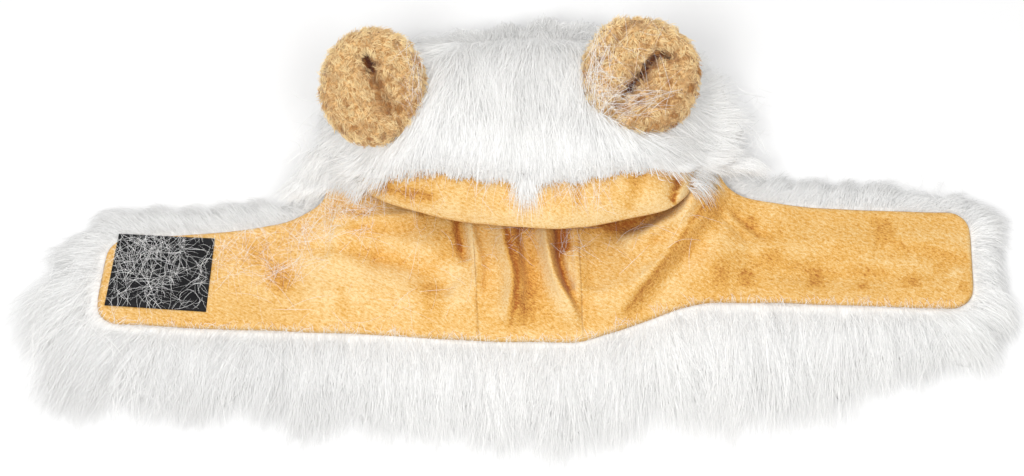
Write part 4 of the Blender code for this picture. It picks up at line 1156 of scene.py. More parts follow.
def ear_fibres(name, seed):
    """Short curls over an ear's skin, in clumps."""
    draw = np.random.default_rng(seed)
    mesh = ear_pads[name].data
    order = face_order(mesh)
    count = len(mesh.polygons)
    centre, normal, area = np.empty(count * 3), np.empty(count * 3), np.empty(count)
    mesh.polygons.foreach_get("center", centre)
    mesh.polygons.foreach_get("normal", normal)
    mesh.polygons.foreach_get("area", area)
    centre = ((centre.reshape(-1, 3) - origin) / MM)[order]
    normal, area = normal.reshape(-1, 3)[order], area[order]
    chosen = draw.choice(count, EAR_FIBRES, p=area / area.sum())
    root = centre[chosen] + draw.normal(0.0, 0.3, (EAR_FIBRES, 3))
    out = normal[chosen]
    seeds, near = nearest_seed(root, draw, EAR_CLUMP)
    swirl = draw.normal(0.0, 0.8, (len(seeds), 3)) + (0.5, -0.7, 0.0)
    lean = swirl[near] - (swirl[near] * out).sum(1, keepdims=True) * out
    lean /= np.linalg.norm(lean, axis=1, keepdims=True) + 1e-9
    gather = (root[seeds][near] - root) * EAR_GATHER
    length = draw.uniform(*FIBRE_LENGTHS, EAR_FIBRES)[:, None, None]
    t = np.linspace(0.0, 1.0, FIBRE_STEPS)[None, :, None]
    stray = draw.normal(0.0, 0.3, (EAR_FIBRES, 1, 3))
    paths = (
        root[:, None]
        + (out[:, None] * t * (1 - 0.5 * t) + lean[:, None] * t**1.4 + stray * t) * length
        + gather[:, None] * t**1.5
    )
    widths = draw.uniform(*FIBRE_HALF_WIDTHS, EAR_FIBRES)[:, None] * np.array(FIBRE_TAPER)[None]
    u, v, w = face_place(root, name)
    dent = face_dent(name, u, v) * ease((w + EAR_THICKNESS * 0.3) / 3.0)
    lit = EAR_SHADE * (v - u) / EAR_SHADE_REACH
    tone = draw.normal(CLUMP_SHADE, CLUMP_SHADE_SPREAD, len(seeds))[near]
    tone = tone + draw.normal(0.0, 0.2, EAR_FIBRES) - SHADE_BY_DENT * dent + lit
    sides = across(paths, draw.uniform(0.0, math.pi, EAR_FIBRES))
    shade = np.clip(tone, 0.0, 1.0)
    obj = ribbons(name + "_plush", paths, widths, sides, shade=shade, deep=painted_crease_shade(dent))
    finish_piece(obj, ear_fibre, "ear_plush")


for number, name in enumerate(EAR_ROWS):
    ear_fibres(name, EAR_SEED + number)

# %% [markdown]
# ## Long white fur
# Fur cloth is a backing with a dense coat of fine fibre. Close to the backing it is a solid mass,
# and only the outer hairs show one by one. So each piece of fur is a soft white body in the form
# of its locks, and tens of thousands of ribbons that start in it and end in clumped tips.
# Particle hair would do this too, but ribbons from arrays stay a plain mesh that keeps its shape.

# %% The locks' tables
LOCK_STEPS = (
    # length, height
    (0.62, -1.0),
    (0.86, 0.2),
    (1.00, 1.0),
    (0.86, 0.2),
)
BAND_LOCKS, BAND_LOCK_SEED = 60, 11
CROWN_LOCKS, CROWN_LOCK_SEED = 26, 23
# The way round the band's edge, for the width of its locks and strands
BAND_ROUND = 900.0
LOCK_CLUMPS = (
    # swing in degrees, number of clumps
    (6.0, 9),
    (4.0, 17),
)
LOCK_TURN, LOCK_STRETCH = 2.5, 0.16
BAND_FUR_ROWS = (
    # name, x, y, heading in degrees, length, crest, bend of the hair
    ("left front corner", -166.0, -46.0, 222.0, 46.0, 11.5, 22.0),
    ("left strap front", -135.0, -48.0, 252.0, 52.0, 11.0, 8.0),
    ("left wing front", -70.0, -50.5, 266.0, 50.0, 10.5, 0.0),
    ("gusset front", 5.0, -54.5, 270.0, 54.0, 10.0, 0.0),
    ("right wing front", 60.0, -43.0, 272.0, 62.0, 10.5, 0.0),
    ("right strap front", 120.0, -37.3, 276.0, 58.0, 11.0, -4.0),
    ("right strap end front", 172.0, -39.0, 293.0, 34.0, 11.0, -14.0),
    ("right end", 191.0, -18.0, 352.0, 17.0, 10.5, -30.0),
    ("right end back", 184.0, 4.5, 50.0, 15.0, 10.5, -30.0),
    ("right strap back", 150.0, 5.5, 72.0, 16.0, 11.0, -34.0),
    ("right notch", 104.0, 9.5, 52.0, 20.0, 10.5, -30.0),
    ("crown right", 88.0, 26.0, 22.0, 17.0, 8.5, -20.0),
    ("crown right back", 66.0, 68.0, 52.0, 16.0, 8.5, 0.0),
    ("crown back", 5.0, 79.0, 90.0, 12.0, 8.5, 0.0),
    ("crown left back", -58.0, 68.0, 135.0, 11.0, 8.5, 10.0),
    ("crown left", -77.0, 26.0, 158.0, 9.0, 8.5, 30.0),
    ("left notch", -92.0, 2.0, 118.0, 15.0, 10.5, 40.0),
    ("left strap back", -130.0, -5.0, 108.0, 17.0, 11.0, 45.0),
    ("left end back", -164.0, -8.0, 148.0, 26.0, 11.0, 50.0),
    ("left end", -170.0, -26.0, 190.0, 38.0, 11.5, 44.0),
)
CROWN_FUR_ROWS = (
    # name, x, y, heading, length, fur line
    ("brow middle", 10.0, -14.0, 270.0, 6.0, 0.63),
    ("brow right", 46.0, -8.5, 285.0, 6.0, 0.63),
    ("brow far right", 66.5, -2.5, 300.0, 7.0, 0.66),
    ("right corner", 78.0, 20.0, 0.0, 30.0, 0.95),
    ("right side", 84.0, 42.0, 16.0, 26.0, 1.0),
    ("right back", 70.0, 67.0, 42.0, 15.0, 1.0),
    ("back middle", 0.0, 81.0, 92.0, 11.0, 1.0),
    ("left back", -52.0, 70.0, 132.0, 10.0, 1.0),
    ("left side", -73.0, 42.0, 188.0, 13.0, 1.0),
    ("left corner", -66.0, 18.0, 212.0, 22.0, 0.95),
    ("brow left", -43.0, -4.0, 250.0, 7.0, 0.65),
)


def lock_jitter(locks, seed):
    """A turn in radians and a length factor for each lock, as the solids have them."""
    draw = random.Random(seed)
    round_ring = np.linspace(0.0, 2 * math.pi, locks, endpoint=False)
    clump = sum(
        math.radians(swing) * np.sin(count * round_ring + draw.uniform(0.0, 6.0))
        for swing, count in LOCK_CLUMPS
    )
    turns = clump + np.radians([draw.uniform(-LOCK_TURN, LOCK_TURN) for _ in range(locks)])
    lengths = np.array([draw.uniform(1 - LOCK_STRETCH, 1 + LOCK_STRETCH) for _ in range(locks)])
    return turns, lengths


def band_outline(steps):
    """The band's outline in plan, a closed ring that starts at the left end's front corner."""
    x = np.linspace(LEFT_END, RIGHT_END, 1400)
    front = np.stack([x, front_edge(x)], axis=1)
    back = np.stack([x, back_edge(x)], axis=1)[::-1]
    ring = np.vstack([front, back])
    ring[:, 0] = leaned(ring[:, 0], ring[:, 1])
    return resample_ring(ring, steps)


def outward(ring):
    """The outward normals of a ring that runs anticlockwise in plan."""
    along = np.roll(ring, -1, axis=0) - np.roll(ring, 1, axis=0)
    normal = np.stack([along[:, 1], -along[:, 0]], axis=1)
    return normal / np.linalg.norm(normal, axis=1)[:, None]


def turned(vectors, angles):
    """Each row's direction in plan, turned by its own angle in radians."""
    cos, sin = np.cos(angles), np.sin(angles)
    x, y = vectors[:, 0], vectors[:, 1]
    return np.stack([x * cos - y * sin, x * sin + y * cos], axis=1)


def lock_profile(phase):
    """Length and height over one lock: phase runs from 0 to 1, valley to valley."""
    table = np.array(LOCK_STEPS + LOCK_STEPS[:1])
    return [np.interp(phase, np.linspace(0.0, 1.0, len(table)), column) for column in table.T]


print("locks:", BAND_LOCKS, "round the band and", CROWN_LOCKS, "round the crown")

# %% The fur's finish
FUR_SHADE, FUR_LIGHT = (0.80, 0.798, 0.79), (0.985, 0.98, 0.965)
# Light that comes through the thin fibres from those round them
FUR_GLOW = 0.045


def fur_finish(name, roughness, specular):
    """White fibre that glows a little, for the light that comes through it."""
    return Finish(
        name,
        FUR_LIGHT,
        roughness,
        Specular_IOR_Level=specular,
        Emission_Color=(1.0, 1.0, 1.0, 1.0),
        Emission_Strength=FUR_GLOW,
    )


fur_coat = fur_finish("fur_coat", 0.8, 0.2)
strands = fur_coat.noise(0.9, fur_coat.attribute("flow", 1), detail=3.0, roughness=0.6)
fur_coat.wear(
    Base_Color=fur_coat.mix(fur_coat.ramp(strands, 0.35, 0.65), FUR_SHADE, FUR_LIGHT),
    Normal=fur_coat.bump(strands, 0.8, 0.6),
)
fur_hair = fur_finish("fur_hair", 0.6, 0.3)
fur_hair.wear(Base_Color=fur_hair.mix(fur_hair.attribute("shade"), FUR_SHADE, FUR_LIGHT))

# %% The coat under and round the band
COAT_STEPS = 480
# The coat's reach as a share of the hairs', and how far past the lining's edge it rises
COAT_SHARE, COAT_ROOT = 0.66, 2.0
# The coat's rings past the lining's edge, from the surface up over its crest
COAT_ROWS = (
    # part of the reach, height, shares of the crest's height and of the locks' relief
    (0.85, 0.0, 0.0, 0.0),
    (1.0, 0.6, 0.0, 0.0),
    (0.85, 0.0, 0.26, 0.3),
    (0.65, 0.0, 0.50, 0.7),
    (0.4, 0.0, 0.72, 1.0),
    (0.18, 0.0, 0.86, 0.8),
)
# How high the coat is under the lining and at its edge
COAT_TOP, COAT_RIM = 9.6, 10.0
# How far out each ring lies for the strands' noise
REACHES = (0.0, 0.0, 40.0, 48.0, 40.0, 30.0, 18.0, 8.0, 0.0, -2.0, -4.0, -10.0)
STRAND_STRETCH = 0.05


def band_lanes(steps):
    """What the band's fur does at each step round it, locks included."""
    ring = band_outline(steps)
    phase = (np.arange(steps) * BAND_LOCKS / steps) % 1.0
    lock = (np.arange(steps) * BAND_LOCKS // steps).astype(int)
    turns, stretch = lock_jitter(BAND_LOCKS, BAND_LOCK_SEED)
    return {
        "ring": ring,
        "normals": outward(ring),
        "ways": turned(headings_along(ring, BAND_FUR_ROWS), turns[lock]),
        "lengths": along_ring(ring, BAND_FUR_ROWS, 4) * stretch[lock],
        "crest": along_ring(ring, BAND_FUR_ROWS, 5),
        "bend": np.radians(along_ring(ring, BAND_FUR_ROWS, 6)),
        "phase": phase,
    }


def swept(root, way, bend, travelled, length):
    """Where a hair is after some of its length, on an even bend from its first heading."""
    turn = bend * np.clip(travelled / np.maximum(length, 1.0), 0.0, 1.2) / 2
    return root + turned(way, turn) * travelled[:, None]


def lane_flow(steps, reach):
    """A place for the strands' noise: round the ring in millimetres, and slowly outwards."""
    angle = np.linspace(0.0, 2 * math.pi, steps, endpoint=False)
    radius = BAND_ROUND / (2 * math.pi)
    outwards = np.full(steps, reach * STRAND_STRETCH)
    return np.c_[np.cos(angle) * radius, np.sin(angle) * radius, outwards] * MM


band = band_lanes(COAT_STEPS)
share, relief = lock_profile(band["phase"])
reach = band["lengths"] * share * COAT_SHARE
root = band["ring"] + band["normals"] * COAT_ROOT


def coat_ring(part, height, crest_share, relief_share):
    """The coat at a part of its reach, at a height made of its crest's and its locks'."""
    raised = height + band["crest"] * crest_share + relief * relief_share
    return np.c_[swept(root, band["ways"], band["bend"], reach * part, reach), raised]


level = np.zeros(COAT_STEPS)
coat_rings = [
    np.c_[band["ring"] * 0.7, level],
    np.c_[band["ring"], level],
    *(coat_ring(*row) for row in COAT_ROWS),
    np.c_[root, band["crest"] * 0.93],
    np.c_[band["ring"] + band["normals"] * 0.6, level + COAT_RIM],
    np.c_[band["ring"] * 0.97, level + COAT_TOP],
    np.c_[band["ring"] * 0.7, level + COAT_TOP],
]
flow = [lane_flow(COAT_STEPS, reach_mm) for reach_mm in REACHES]
coat = ring_shell("fur_coat_band", coat_rings, (5.0, 0.0, 0.0), (5.0, 0.0, COAT_TOP), flow=flow)
finish_piece(coat, fur_coat, "white_fur", "fur_band")

# %% The coat over the crown
# The coat's lower skin and the top of its pile, over the dome
CROWN_SEAT, CROWN_PILE = 1.0, 13.4
# The fringe is short where it hangs over the rolled brow, and this much longer away from it
FRINGE_AT_BROW, FRINGE_MORE = 6.0, 40.0
CROWN_REACHES = (-40.0, -20.0, -8.0, 0.0, 8.0, 16.0, 12.0, 6.0, 0.0, -6.0, -12.0, -24.0, -36.0)
crown_ring = crown_outline(RING_STEPS)
crown_mouth = mouth_share(crown_ring)
crown_line = along_ring(crown_ring, CROWN_FUR_ROWS, 5)
crown_phase = (np.arange(RING_STEPS) * CROWN_LOCKS / RING_STEPS) % 1.0
crown_lock = (np.arange(RING_STEPS) * CROWN_LOCKS // RING_STEPS).astype(int)
crown_turns, crown_stretch = lock_jitter(CROWN_LOCKS, CROWN_LOCK_SEED)
crown_length = along_ring(crown_ring, CROWN_FUR_ROWS, 4) * crown_stretch[crown_lock]
crown_ways = turned(headings_along(crown_ring, CROWN_FUR_ROWS), crown_turns[crown_lock])
crown_out, crown_high = lock_profile(crown_phase)
fringe_most = FRINGE_AT_BROW + FRINGE_MORE * (1 - crown_mouth) ** 2
crown_reach = np.minimum(crown_length * crown_out, fringe_most)


def crown_coat(share, lift, swelled=1.0):
    """The crown's surface at a share of the way to its fur line, lifted."""
    place = crown_surface(crown_ring, share * crown_line)
    place[:, 2] += lift + brow_swell(share * crown_line, crown_mouth) * swelled
    return place


crown_edge = crown_coat(1.0, CROWN_SEAT)


def crown_fringe(part, lift):
    """The fringe past the fur line, at a part of its length."""
    place = crown_edge.copy()
    place[:, :2] += crown_ways * (crown_reach * part)[:, None]
    place[:, 2] += lift - CROWN_SEAT
    return place


crown_rings = [
    crown_coat(0.25, CROWN_SEAT),
    crown_coat(0.6, CROWN_SEAT),
    crown_coat(0.85, CROWN_SEAT),
    crown_edge,
    crown_fringe(0.3, 1.6),
    crown_fringe(0.5, 3.0),
    crown_fringe(0.35, 5.2 + 0.4 * crown_high),
    crown_fringe(0.15, 7.0 + 0.5 * crown_high),
    crown_coat(1.0, 8.2 + 0.5 * crown_high, 0.6),
    crown_coat(0.85, 10.4 + 0.4 * crown_high, 0.3),
    crown_coat(0.7, 12.0 + 0.3 * crown_high, 0.0),
    crown_coat(0.45, 13.0, 0.0),
    crown_coat(0.2, CROWN_PILE, 0.0),
]
crown_flow = [lane_flow(RING_STEPS, reach_mm) for reach_mm in CROWN_REACHES]
crown_body = ring_shell(
    "fur_coat_crown",
    crown_rings,
    (*CROWN_CENTRE, CROWN_TOP + CROWN_SEAT),
    (*CROWN_CENTRE, CROWN_TOP + CROWN_PILE),
    flow=crown_flow,
)
finish_piece(crown_body, fur_coat, "white_fur", "fur_crown")

# %% [markdown]
# ## The hairs
# Each hair is a ribbon that starts in the coat, follows its lock's heading and ends in a point with
# its neighbours. A hair's shade is its clump's, a little varied, and a few catch the light.

# %% Hair helpers
HAIR_STEPS, HAIR_LOWEST = 5, 0.3
# A hair's width along its length, and how it varies from hair to hair
HAIR_TAPER = ((0.0, 0.15, 0.6, 1.0), (0.7, 1.0, 0.85, 0.0))
HAIR_WIDTHS, HAIR_ROLL = (0.6, 1.25), 0.7
# How much the shade varies from clump to clump and from hair to hair, and how many catch the light
CLUMP_TONE, HAIR_TONE, BRIGHT_SHARE = 0.24, 0.12, 0.16


def inside_ears(points):
    """True where a place lies in an ear's pad."""
    hit = np.zeros(points.shape[:-1], bool)
    for name, (_, _, _, width, height, _) in EAR_ROWS.items():
        u, v, w = face_place(points, name)
        outwards = (u / (width / 2)) ** 2 + (v / (height / 2)) ** 2 + (w / (EAR_THICKNESS * 0.6)) ** 2
        hit |= outwards < 1.0
    return hit


def arched(t, low, middle, tip):
    """The height at a share t of a hair, on a curve from its root over a middle height."""
    return (1 - t) ** 2 * low + 2 * t * (1 - t) * middle + t**2 * tip


def hair_paths(count, place, height):
    """Hairs from their places in plan and their heights, both functions of a share t of the hair."""
    paths = np.empty((count, HAIR_STEPS, 3))
    for k, t in enumerate(np.linspace(0.0, 1.0, HAIR_STEPS)):
        paths[:, k, :2] = place(t)
        paths[:, k, 2] = height(t)
    return paths


def clumped(paths, draw, size, strength):
    """Draws the tips of neighbouring hairs together, so that they end in pointed clumps."""
    seeds, near = nearest_seed(paths[:, 0, :2], draw, size)
    t = np.linspace(0.0, 1.0, paths.shape[1])[None, :, None]
    pull_in = strength * draw.uniform(0.3, 1.0, len(paths))[:, None, None] * t**1.4
    return paths + (paths[seeds][near] - paths) * pull_in, near


def hair_piece(name, paths, draw, width, shade):
    """One piece of the fur from its hairs, each with its own width and roll."""
    taper = np.interp(np.linspace(0, 1, paths.shape[1]), *HAIR_TAPER)
    widths = draw.uniform(*HAIR_WIDTHS, len(paths))[:, None] * width / 2 * taper[None]
    sides = across(paths, draw.uniform(-HAIR_ROLL, HAIR_ROLL, len(paths)))
    obj = ribbons(name, paths, widths, sides, shade=shade)
    finish_piece(obj, fur_hair, "white_fur")


def strand_shade(draw, near, middle):
    """Each clump has its own shade, each hair varies a little, and a few catch the light."""
    tone = draw.normal(middle, CLUMP_TONE, near.max() + 1)[near] + draw.normal(0.0, HAIR_TONE, len(near))
    bright = draw.uniform(0.0, 1.0, len(near)) < BRIGHT_SHARE
    return np.where(bright, 1.0, np.clip(tone, 0.0, 0.9))


# %% Hairs round the band
BAND_HAIRS, BAND_PIECES, BAND_SEED = 42000, 3, 61
BAND_WIDTH, BAND_TONE = 0.24, 0.42
BAND_CLUMP, BAND_GATHER = 60, 0.55
FINE_STEPS = 2400
# Roots lie between these distances past the lining's edge and heights, and tips at these heights
ROOTS_OUT, ROOT_HEIGHTS, TIP_HEIGHTS = (-0.8, 4.5), (6.5, 10.4), (0.4, 4.0)
# The photograph's fur is greyer towards the left end, and behind the straps
# Painted shade darkens the hairs behind the straps, and the hairs towards the left end are darkened too
LEFT_SHADE, LEFT_SHADE_FROM, LEFT_SHADE_FADE = 0.65, -40.0, 60.0
BEHIND_SHADE, BEHIND_FROM = 0.30, 0.3
fine = band_lanes(FINE_STEPS)


def band_hairs(first, last, count, seed):
    """Hairs that start at the lining's edge, along a stretch of the band's outline."""
    draw = np.random.default_rng(seed)
    at = draw.integers(int(first * FINE_STEPS), int(last * FINE_STEPS), count)
    share, relief = lock_profile(fine["phase"][at])
    spacing = BAND_ROUND / BAND_LOCKS
    start_out = draw.uniform(*ROOTS_OUT, count)
    root = fine["ring"][at] + fine["normals"][at] * start_out[:, None]
    drift = 0.16 * np.sin(at * 0.021) + 0.12 * np.sin(at * 0.057 + 1.0)
    way = turned(fine["ways"][at], drift + draw.normal(0.0, 0.14, count))
    bend = fine["bend"][at] + draw.normal(0.0, 0.25, count)
    length = fine["lengths"][at] * (0.45 + 0.55 * share) * draw.uniform(0.5, 1.12, count)
    sideways = np.stack([-way[:, 1], way[:, 0]], axis=1)
    gather = (0.5 - fine["phase"][at]) * spacing * draw.uniform(0.1, 0.8, count)
    curl = draw.normal(0.0, 1.0, count) * np.minimum(length, 40.0) * 0.07
    swing = draw.uniform(2.0, 5.0, count)
    low = draw.uniform(*ROOT_HEIGHTS, count)
    top = fine["crest"][at] + draw.uniform(-0.5, 3.6, count) + relief
    tip = draw.uniform(*TIP_HEIGHTS, count)

    def place(t):
        aside = gather * t**2 * 0.8 + curl * np.sin(swing * t)
        return swept(root, way, bend, length * t, length) + sideways * aside[:, None]

    paths = hair_paths(count, place, lambda t: np.maximum(arched(t, low, top * 1.22, tip), HAIR_LOWEST))
    paths, near = clumped(paths, draw, BAND_CLUMP, BAND_GATHER)
    behind = fine["normals"][at, 1] > BEHIND_FROM
    left_shade = 1 - LEFT_SHADE * ease((LEFT_SHADE_FROM - fine["ring"][at, 0]) / LEFT_SHADE_FADE)
    shade = strand_shade(draw, near, BAND_TONE) * np.where(behind, BEHIND_SHADE, left_shade)
    return paths, draw, shade


for piece in range(BAND_PIECES):
    first, last = piece / BAND_PIECES, (piece + 1) / BAND_PIECES
    paths, draw, tone = band_hairs(first, last, BAND_HAIRS // BAND_PIECES, BAND_SEED + piece)
    hair_piece("fur_hair_band_" + str(piece + 1), paths, draw, BAND_WIDTH, tone)

# %% Hairs over the crown
CROWN_HAIRS, CROWN_PIECES, CROWN_SEED = 33000, 2, 81
# The crown's hairs are painted lighter than the band's, as painted light on the dome
CROWN_WIDTH, CROWN_TONE = 0.22, 0.70
CROWN_CLUMP, CROWN_GATHER = 50, 0.5
CROWN_LENGTHS, CROWN_LIFTS, SHORTEST = (16.0, 38.0), (0.76, 1.06), 2.0
# The pile over the dome, by share of the way to the fur line, and over the fringe, by its length
PILE_SHARES, PILE_HEIGHTS = (0.0, 0.45, 0.8, 1.0), (19.0, 19.0, 17.0, 14.0)
FRINGE_SHARES, FRINGE_HEIGHTS = (0.0, 0.3, 0.72, 1.0, 1.2), (14.0, 11.7, 8.6, 5.0, 3.0)
# The pile is combed forwards from a parting near the back, and outwards at the sides
PARTING_Y, SIDE_FROM = 68.0, 24.0
MAP_LOW, MAP_SIZE = np.array((-100.0, -30.0)), (210, 130)
TRAVEL_STEPS = 16


def crown_maps():
    """The dome's height, share of the way to its hem and step round it, on a grid of millimetres."""
    height, share_map, index_map = (np.full(MAP_SIZE, np.nan) for _ in range(3))
    for share in np.linspace(0.0, 1.0, 160):
        place = crown_surface(crown_ring, share)
        cell = np.rint(place[:, :2] - MAP_LOW).astype(int)
        height[cell[:, 0], cell[:, 1]] = place[:, 2]
        share_map[cell[:, 0], cell[:, 1]] = share
        index_map[cell[:, 0], cell[:, 1]] = np.arange(RING_STEPS)
    return height, share_map, index_map


dome_height, dome_share, dome_index = crown_maps()


def on_map(grid, x, y, otherwise):
    """What a map holds at the places x, y, or another value off the dome."""
    cell_x = np.clip(np.rint(x - MAP_LOW[0]).astype(int), 0, MAP_SIZE[0] - 1)
    cell_y = np.clip(np.rint(y - MAP_LOW[1]).astype(int), 0, MAP_SIZE[1] - 1)
    found = grid[cell_x, cell_y]
    return np.where(np.isnan(found), otherwise, found)


def combed(x, y):
    """Which way the pile lies on top of the crown."""
    aside = np.sign(x - CROWN_CENTRE[0]) * np.maximum(np.abs(x - CROWN_CENTRE[0]) - SIDE_FROM, 0.0)
    way = np.stack([aside * 1.2, y - PARTING_Y], axis=1)
    way[:, 1] = np.where(np.abs(way[:, 1]) < 8.0, np.sign(way[:, 1] - 1e-6) * 8.0, way[:, 1])
    return way / np.linalg.norm(way, axis=1, keepdims=True)


def crown_hairs(count, seed):
    """Hairs that follow the dome and then the fringe past the fur line."""
    draw = np.random.default_rng(seed)
    index = draw.integers(0, RING_STEPS, count)
    start = np.sqrt(draw.uniform(0.0, 1.0, count)) * crown_line[index]
    base = crown_surface(crown_ring[index], start)
    x, y, ground = base.T.copy()
    length = draw.uniform(*CROWN_LENGTHS, count)
    sway = draw.normal(0.0, 0.16, count)
    sway = sway + 0.22 * np.sin(index * 0.11) + 0.16 * np.sin(index * 0.31 + start * 6.0)
    reach = draw.uniform(0.2, 1.15, count)
    lift = draw.uniform(*CROWN_LIFTS, count)
    beyond = np.zeros(count)
    share, line = start.copy(), crown_line[index]
    step = length / TRAVEL_STEPS
    track = []
    for k in range(TRAVEL_STEPS + 1):
        t = k / TRAVEL_STEPS
        past = beyond > 0.0
        fringe = np.maximum(crown_reach[index], 1.0)
        pile = np.interp(np.minimum(share / line, 1.0), PILE_SHARES, PILE_HEIGHTS)
        fallen = np.interp(beyond / fringe, FRINGE_SHARES, FRINGE_HEIGHTS)
        rise = 0.72 + 0.28 * math.sin(min(1.0, 2.2 * t) * math.pi / 2)
        near_line = np.where(past, 1.0, 0.6 * ease((share / line - 0.8) * 5.0))
        swell = brow_swell(share, crown_mouth[index]) * near_line
        track.append(np.stack([x, y, ground + swell + np.where(past, fallen, pile) * lift * rise], axis=1))
        blend = ease((share / line - 0.55) / 0.4)[:, None]
        way = turned(combed(x, y) * (1 - blend) + crown_ways[index] * blend, sway)
        way = way / np.linalg.norm(way, axis=1, keepdims=True)
        go = np.where(beyond < fringe * reach, step, 0.0) * np.where(past, 0.8, 1.0)
        x, y = x + way[:, 0] * go, y + way[:, 1] * go
        share = on_map(dome_share, x, y, 1.0)
        ground = on_map(dome_height, x, y, ground)
        index = np.where(past, index, on_map(dome_index, x, y, index)).astype(int)
        line = crown_line[index]
        beyond = np.where(past | (share >= line), beyond + go + 0.01, 0.0)
    track = np.stack(track, axis=1)
    paths = track[:, np.linspace(0, TRAVEL_STEPS, HAIR_STEPS).astype(int)]
    long_enough = np.linalg.norm(paths[:, -1] - paths[:, 0], axis=1) > SHORTEST
    paths = paths[long_enough & ~inside_ears(paths).any(axis=1)]
    paths, near = clumped(paths, draw, CROWN_CLUMP, CROWN_GATHER)
    return paths, draw, strand_shade(draw, near, CROWN_TONE)


for piece in range(CROWN_PIECES):
    paths, draw, tone = crown_hairs(CROWN_HAIRS // CROWN_PIECES, CROWN_SEED + piece)
    hair_piece("fur_hair_crown_" + str(piece + 1), paths, draw, CROWN_WIDTH, tone)
    print("hairs in a crown piece:", len(paths))

# %% Hairs at the crown's hem
HEM_HAIRS, HEM_SEED = 5000, 88
HEM_WIDTH, HEM_TONE = 0.22, 0.4
HEM_CLUMP, HEM_GATHER = 24, 0.3


def hem_hairs(count):
    """Hairs at the seated part of the crown's hem, which hang over the join with the band."""
    draw = np.random.default_rng(HEM_SEED)
    at = draw.choice(np.flatnonzero(crown_mouth < 0.2), count)
    root = crown_ring[at, :2] + draw.normal(0.0, 1.2, (count, 2))
    way = turned(crown_ways[at], draw.normal(0.0, 0.25, count))
    length = draw.uniform(5.0, 13.0, count)
    low = crown_ring[at, 2] + draw.uniform(0.0, 6.0, count)
    tip = crown_ring[at, 2] - draw.uniform(6.0, 13.0, count)
    paths = hair_paths(
        count,
        lambda t: root + way * (length * t)[:, None],
        lambda t: arched(t, low, low + 2.0, tip),
    )
    paths, near = clumped(paths, draw, HEM_CLUMP, HEM_GATHER)
    hair_piece("fur_hair_hem", paths, draw, HEM_WIDTH, strand_shade(draw, near, HEM_TONE))


hem_hairs(HEM_HAIRS)

# %% Tufts that lie over the lining at the crown's corners and over its hem
TUFT_ROWS = (
    # name, where the roots start and end, heading, length, hairs, heights of root, middle and tip
    ("left corner", (-82.0, 26.0), (-60.0, 24.0), 238.0, 18.0, 1900, 22.0, 27.0, 18.0),
    ("left corner low", (-90.0, 15.0), (-74.0, 16.0), 222.0, 13.0, 900, 19.0, 22.0, 16.5),
    ("right corner", (74.0, 23.0), (98.0, 22.0), 340.0, 13.0, 900, 22.0, 26.0, 19.0),
    ("hem", (4.6, 8.0), (8.4, 8.0), 268.0, 15.0, 560, 52.0, 52.0, 43.5),
    ("hem tip", (6.0, 5.0), (6.6, 5.0), 268.0, 19.0, 150, 50.0, 51.0, 42.5),
)
TUFT_SEED, TUFT_WIDTH, TUFT_TONE = 91, 0.2, 0.6
TUFT_CLUMP, TUFT_GATHER = 30, 0.55


def tufts(name, rows):
    """Hairs that start between two places of each row and lie its way."""
    draw = np.random.default_rng(TUFT_SEED)
    _, start, end, heading, length, counts, low, middle, tip = zip(*rows)
    start, end = (np.repeat(places, counts, axis=0) for places in (start, end))
    heading, length, low, middle, tip = (
        np.repeat(values, counts) for values in (heading, length, low, middle, tip)
    )
    count = len(heading)
    root = start + (end - start) * draw.uniform(0.0, 1.0, (count, 1)) + draw.normal(0.0, 1.6, (count, 2))
    turn = np.radians(heading + draw.normal(0.0, 11.0, count))
    way = np.stack([np.cos(turn), np.sin(turn)], axis=1)
    length = length * draw.uniform(0.45, 1.15, count)
    bend = draw.normal(0.0, 0.35, count)
    lift = draw.uniform(-1.5, 1.5, count)
    paths = hair_paths(
        count,
        lambda t: swept(root, way, bend, length * t, length),
        lambda t: arched(t, low, middle, tip) + lift * (1 - 0.6 * t),
    )
    paths, near = clumped(paths, draw, TUFT_CLUMP, TUFT_GATHER)
    hair_piece(name, paths, draw, TUFT_WIDTH, strand_shade(draw, near, TUFT_TONE))


tufts("fur_hair_tufts", TUFT_ROWS)

# %% [markdown]
# ## Stray hairs
# Fur sheds. White hairs lie across the hook patch, which catches them, and over the hem, the ears
# and the edges of the lining. They are few, but they tie the pieces together in a close view.

# %% Strays
PATCH_LEFT, PATCH_RIGHT, PATCH_FRONT, PATCH_BACK = -168.0, -124.0, -42.0, -6.0
# How high a stray lies over the tape, on its hooks
HOOK_HEIGHT = 0.9
STRAY_STEPS = 9
# A stray's height over what it lies on at its ends and in its middle, and its width
STRAY_LOW, STRAY_ARCHES, STRAY_WIDTHS = 0.25, (0.2, 1.6), (0.6, 1.3)


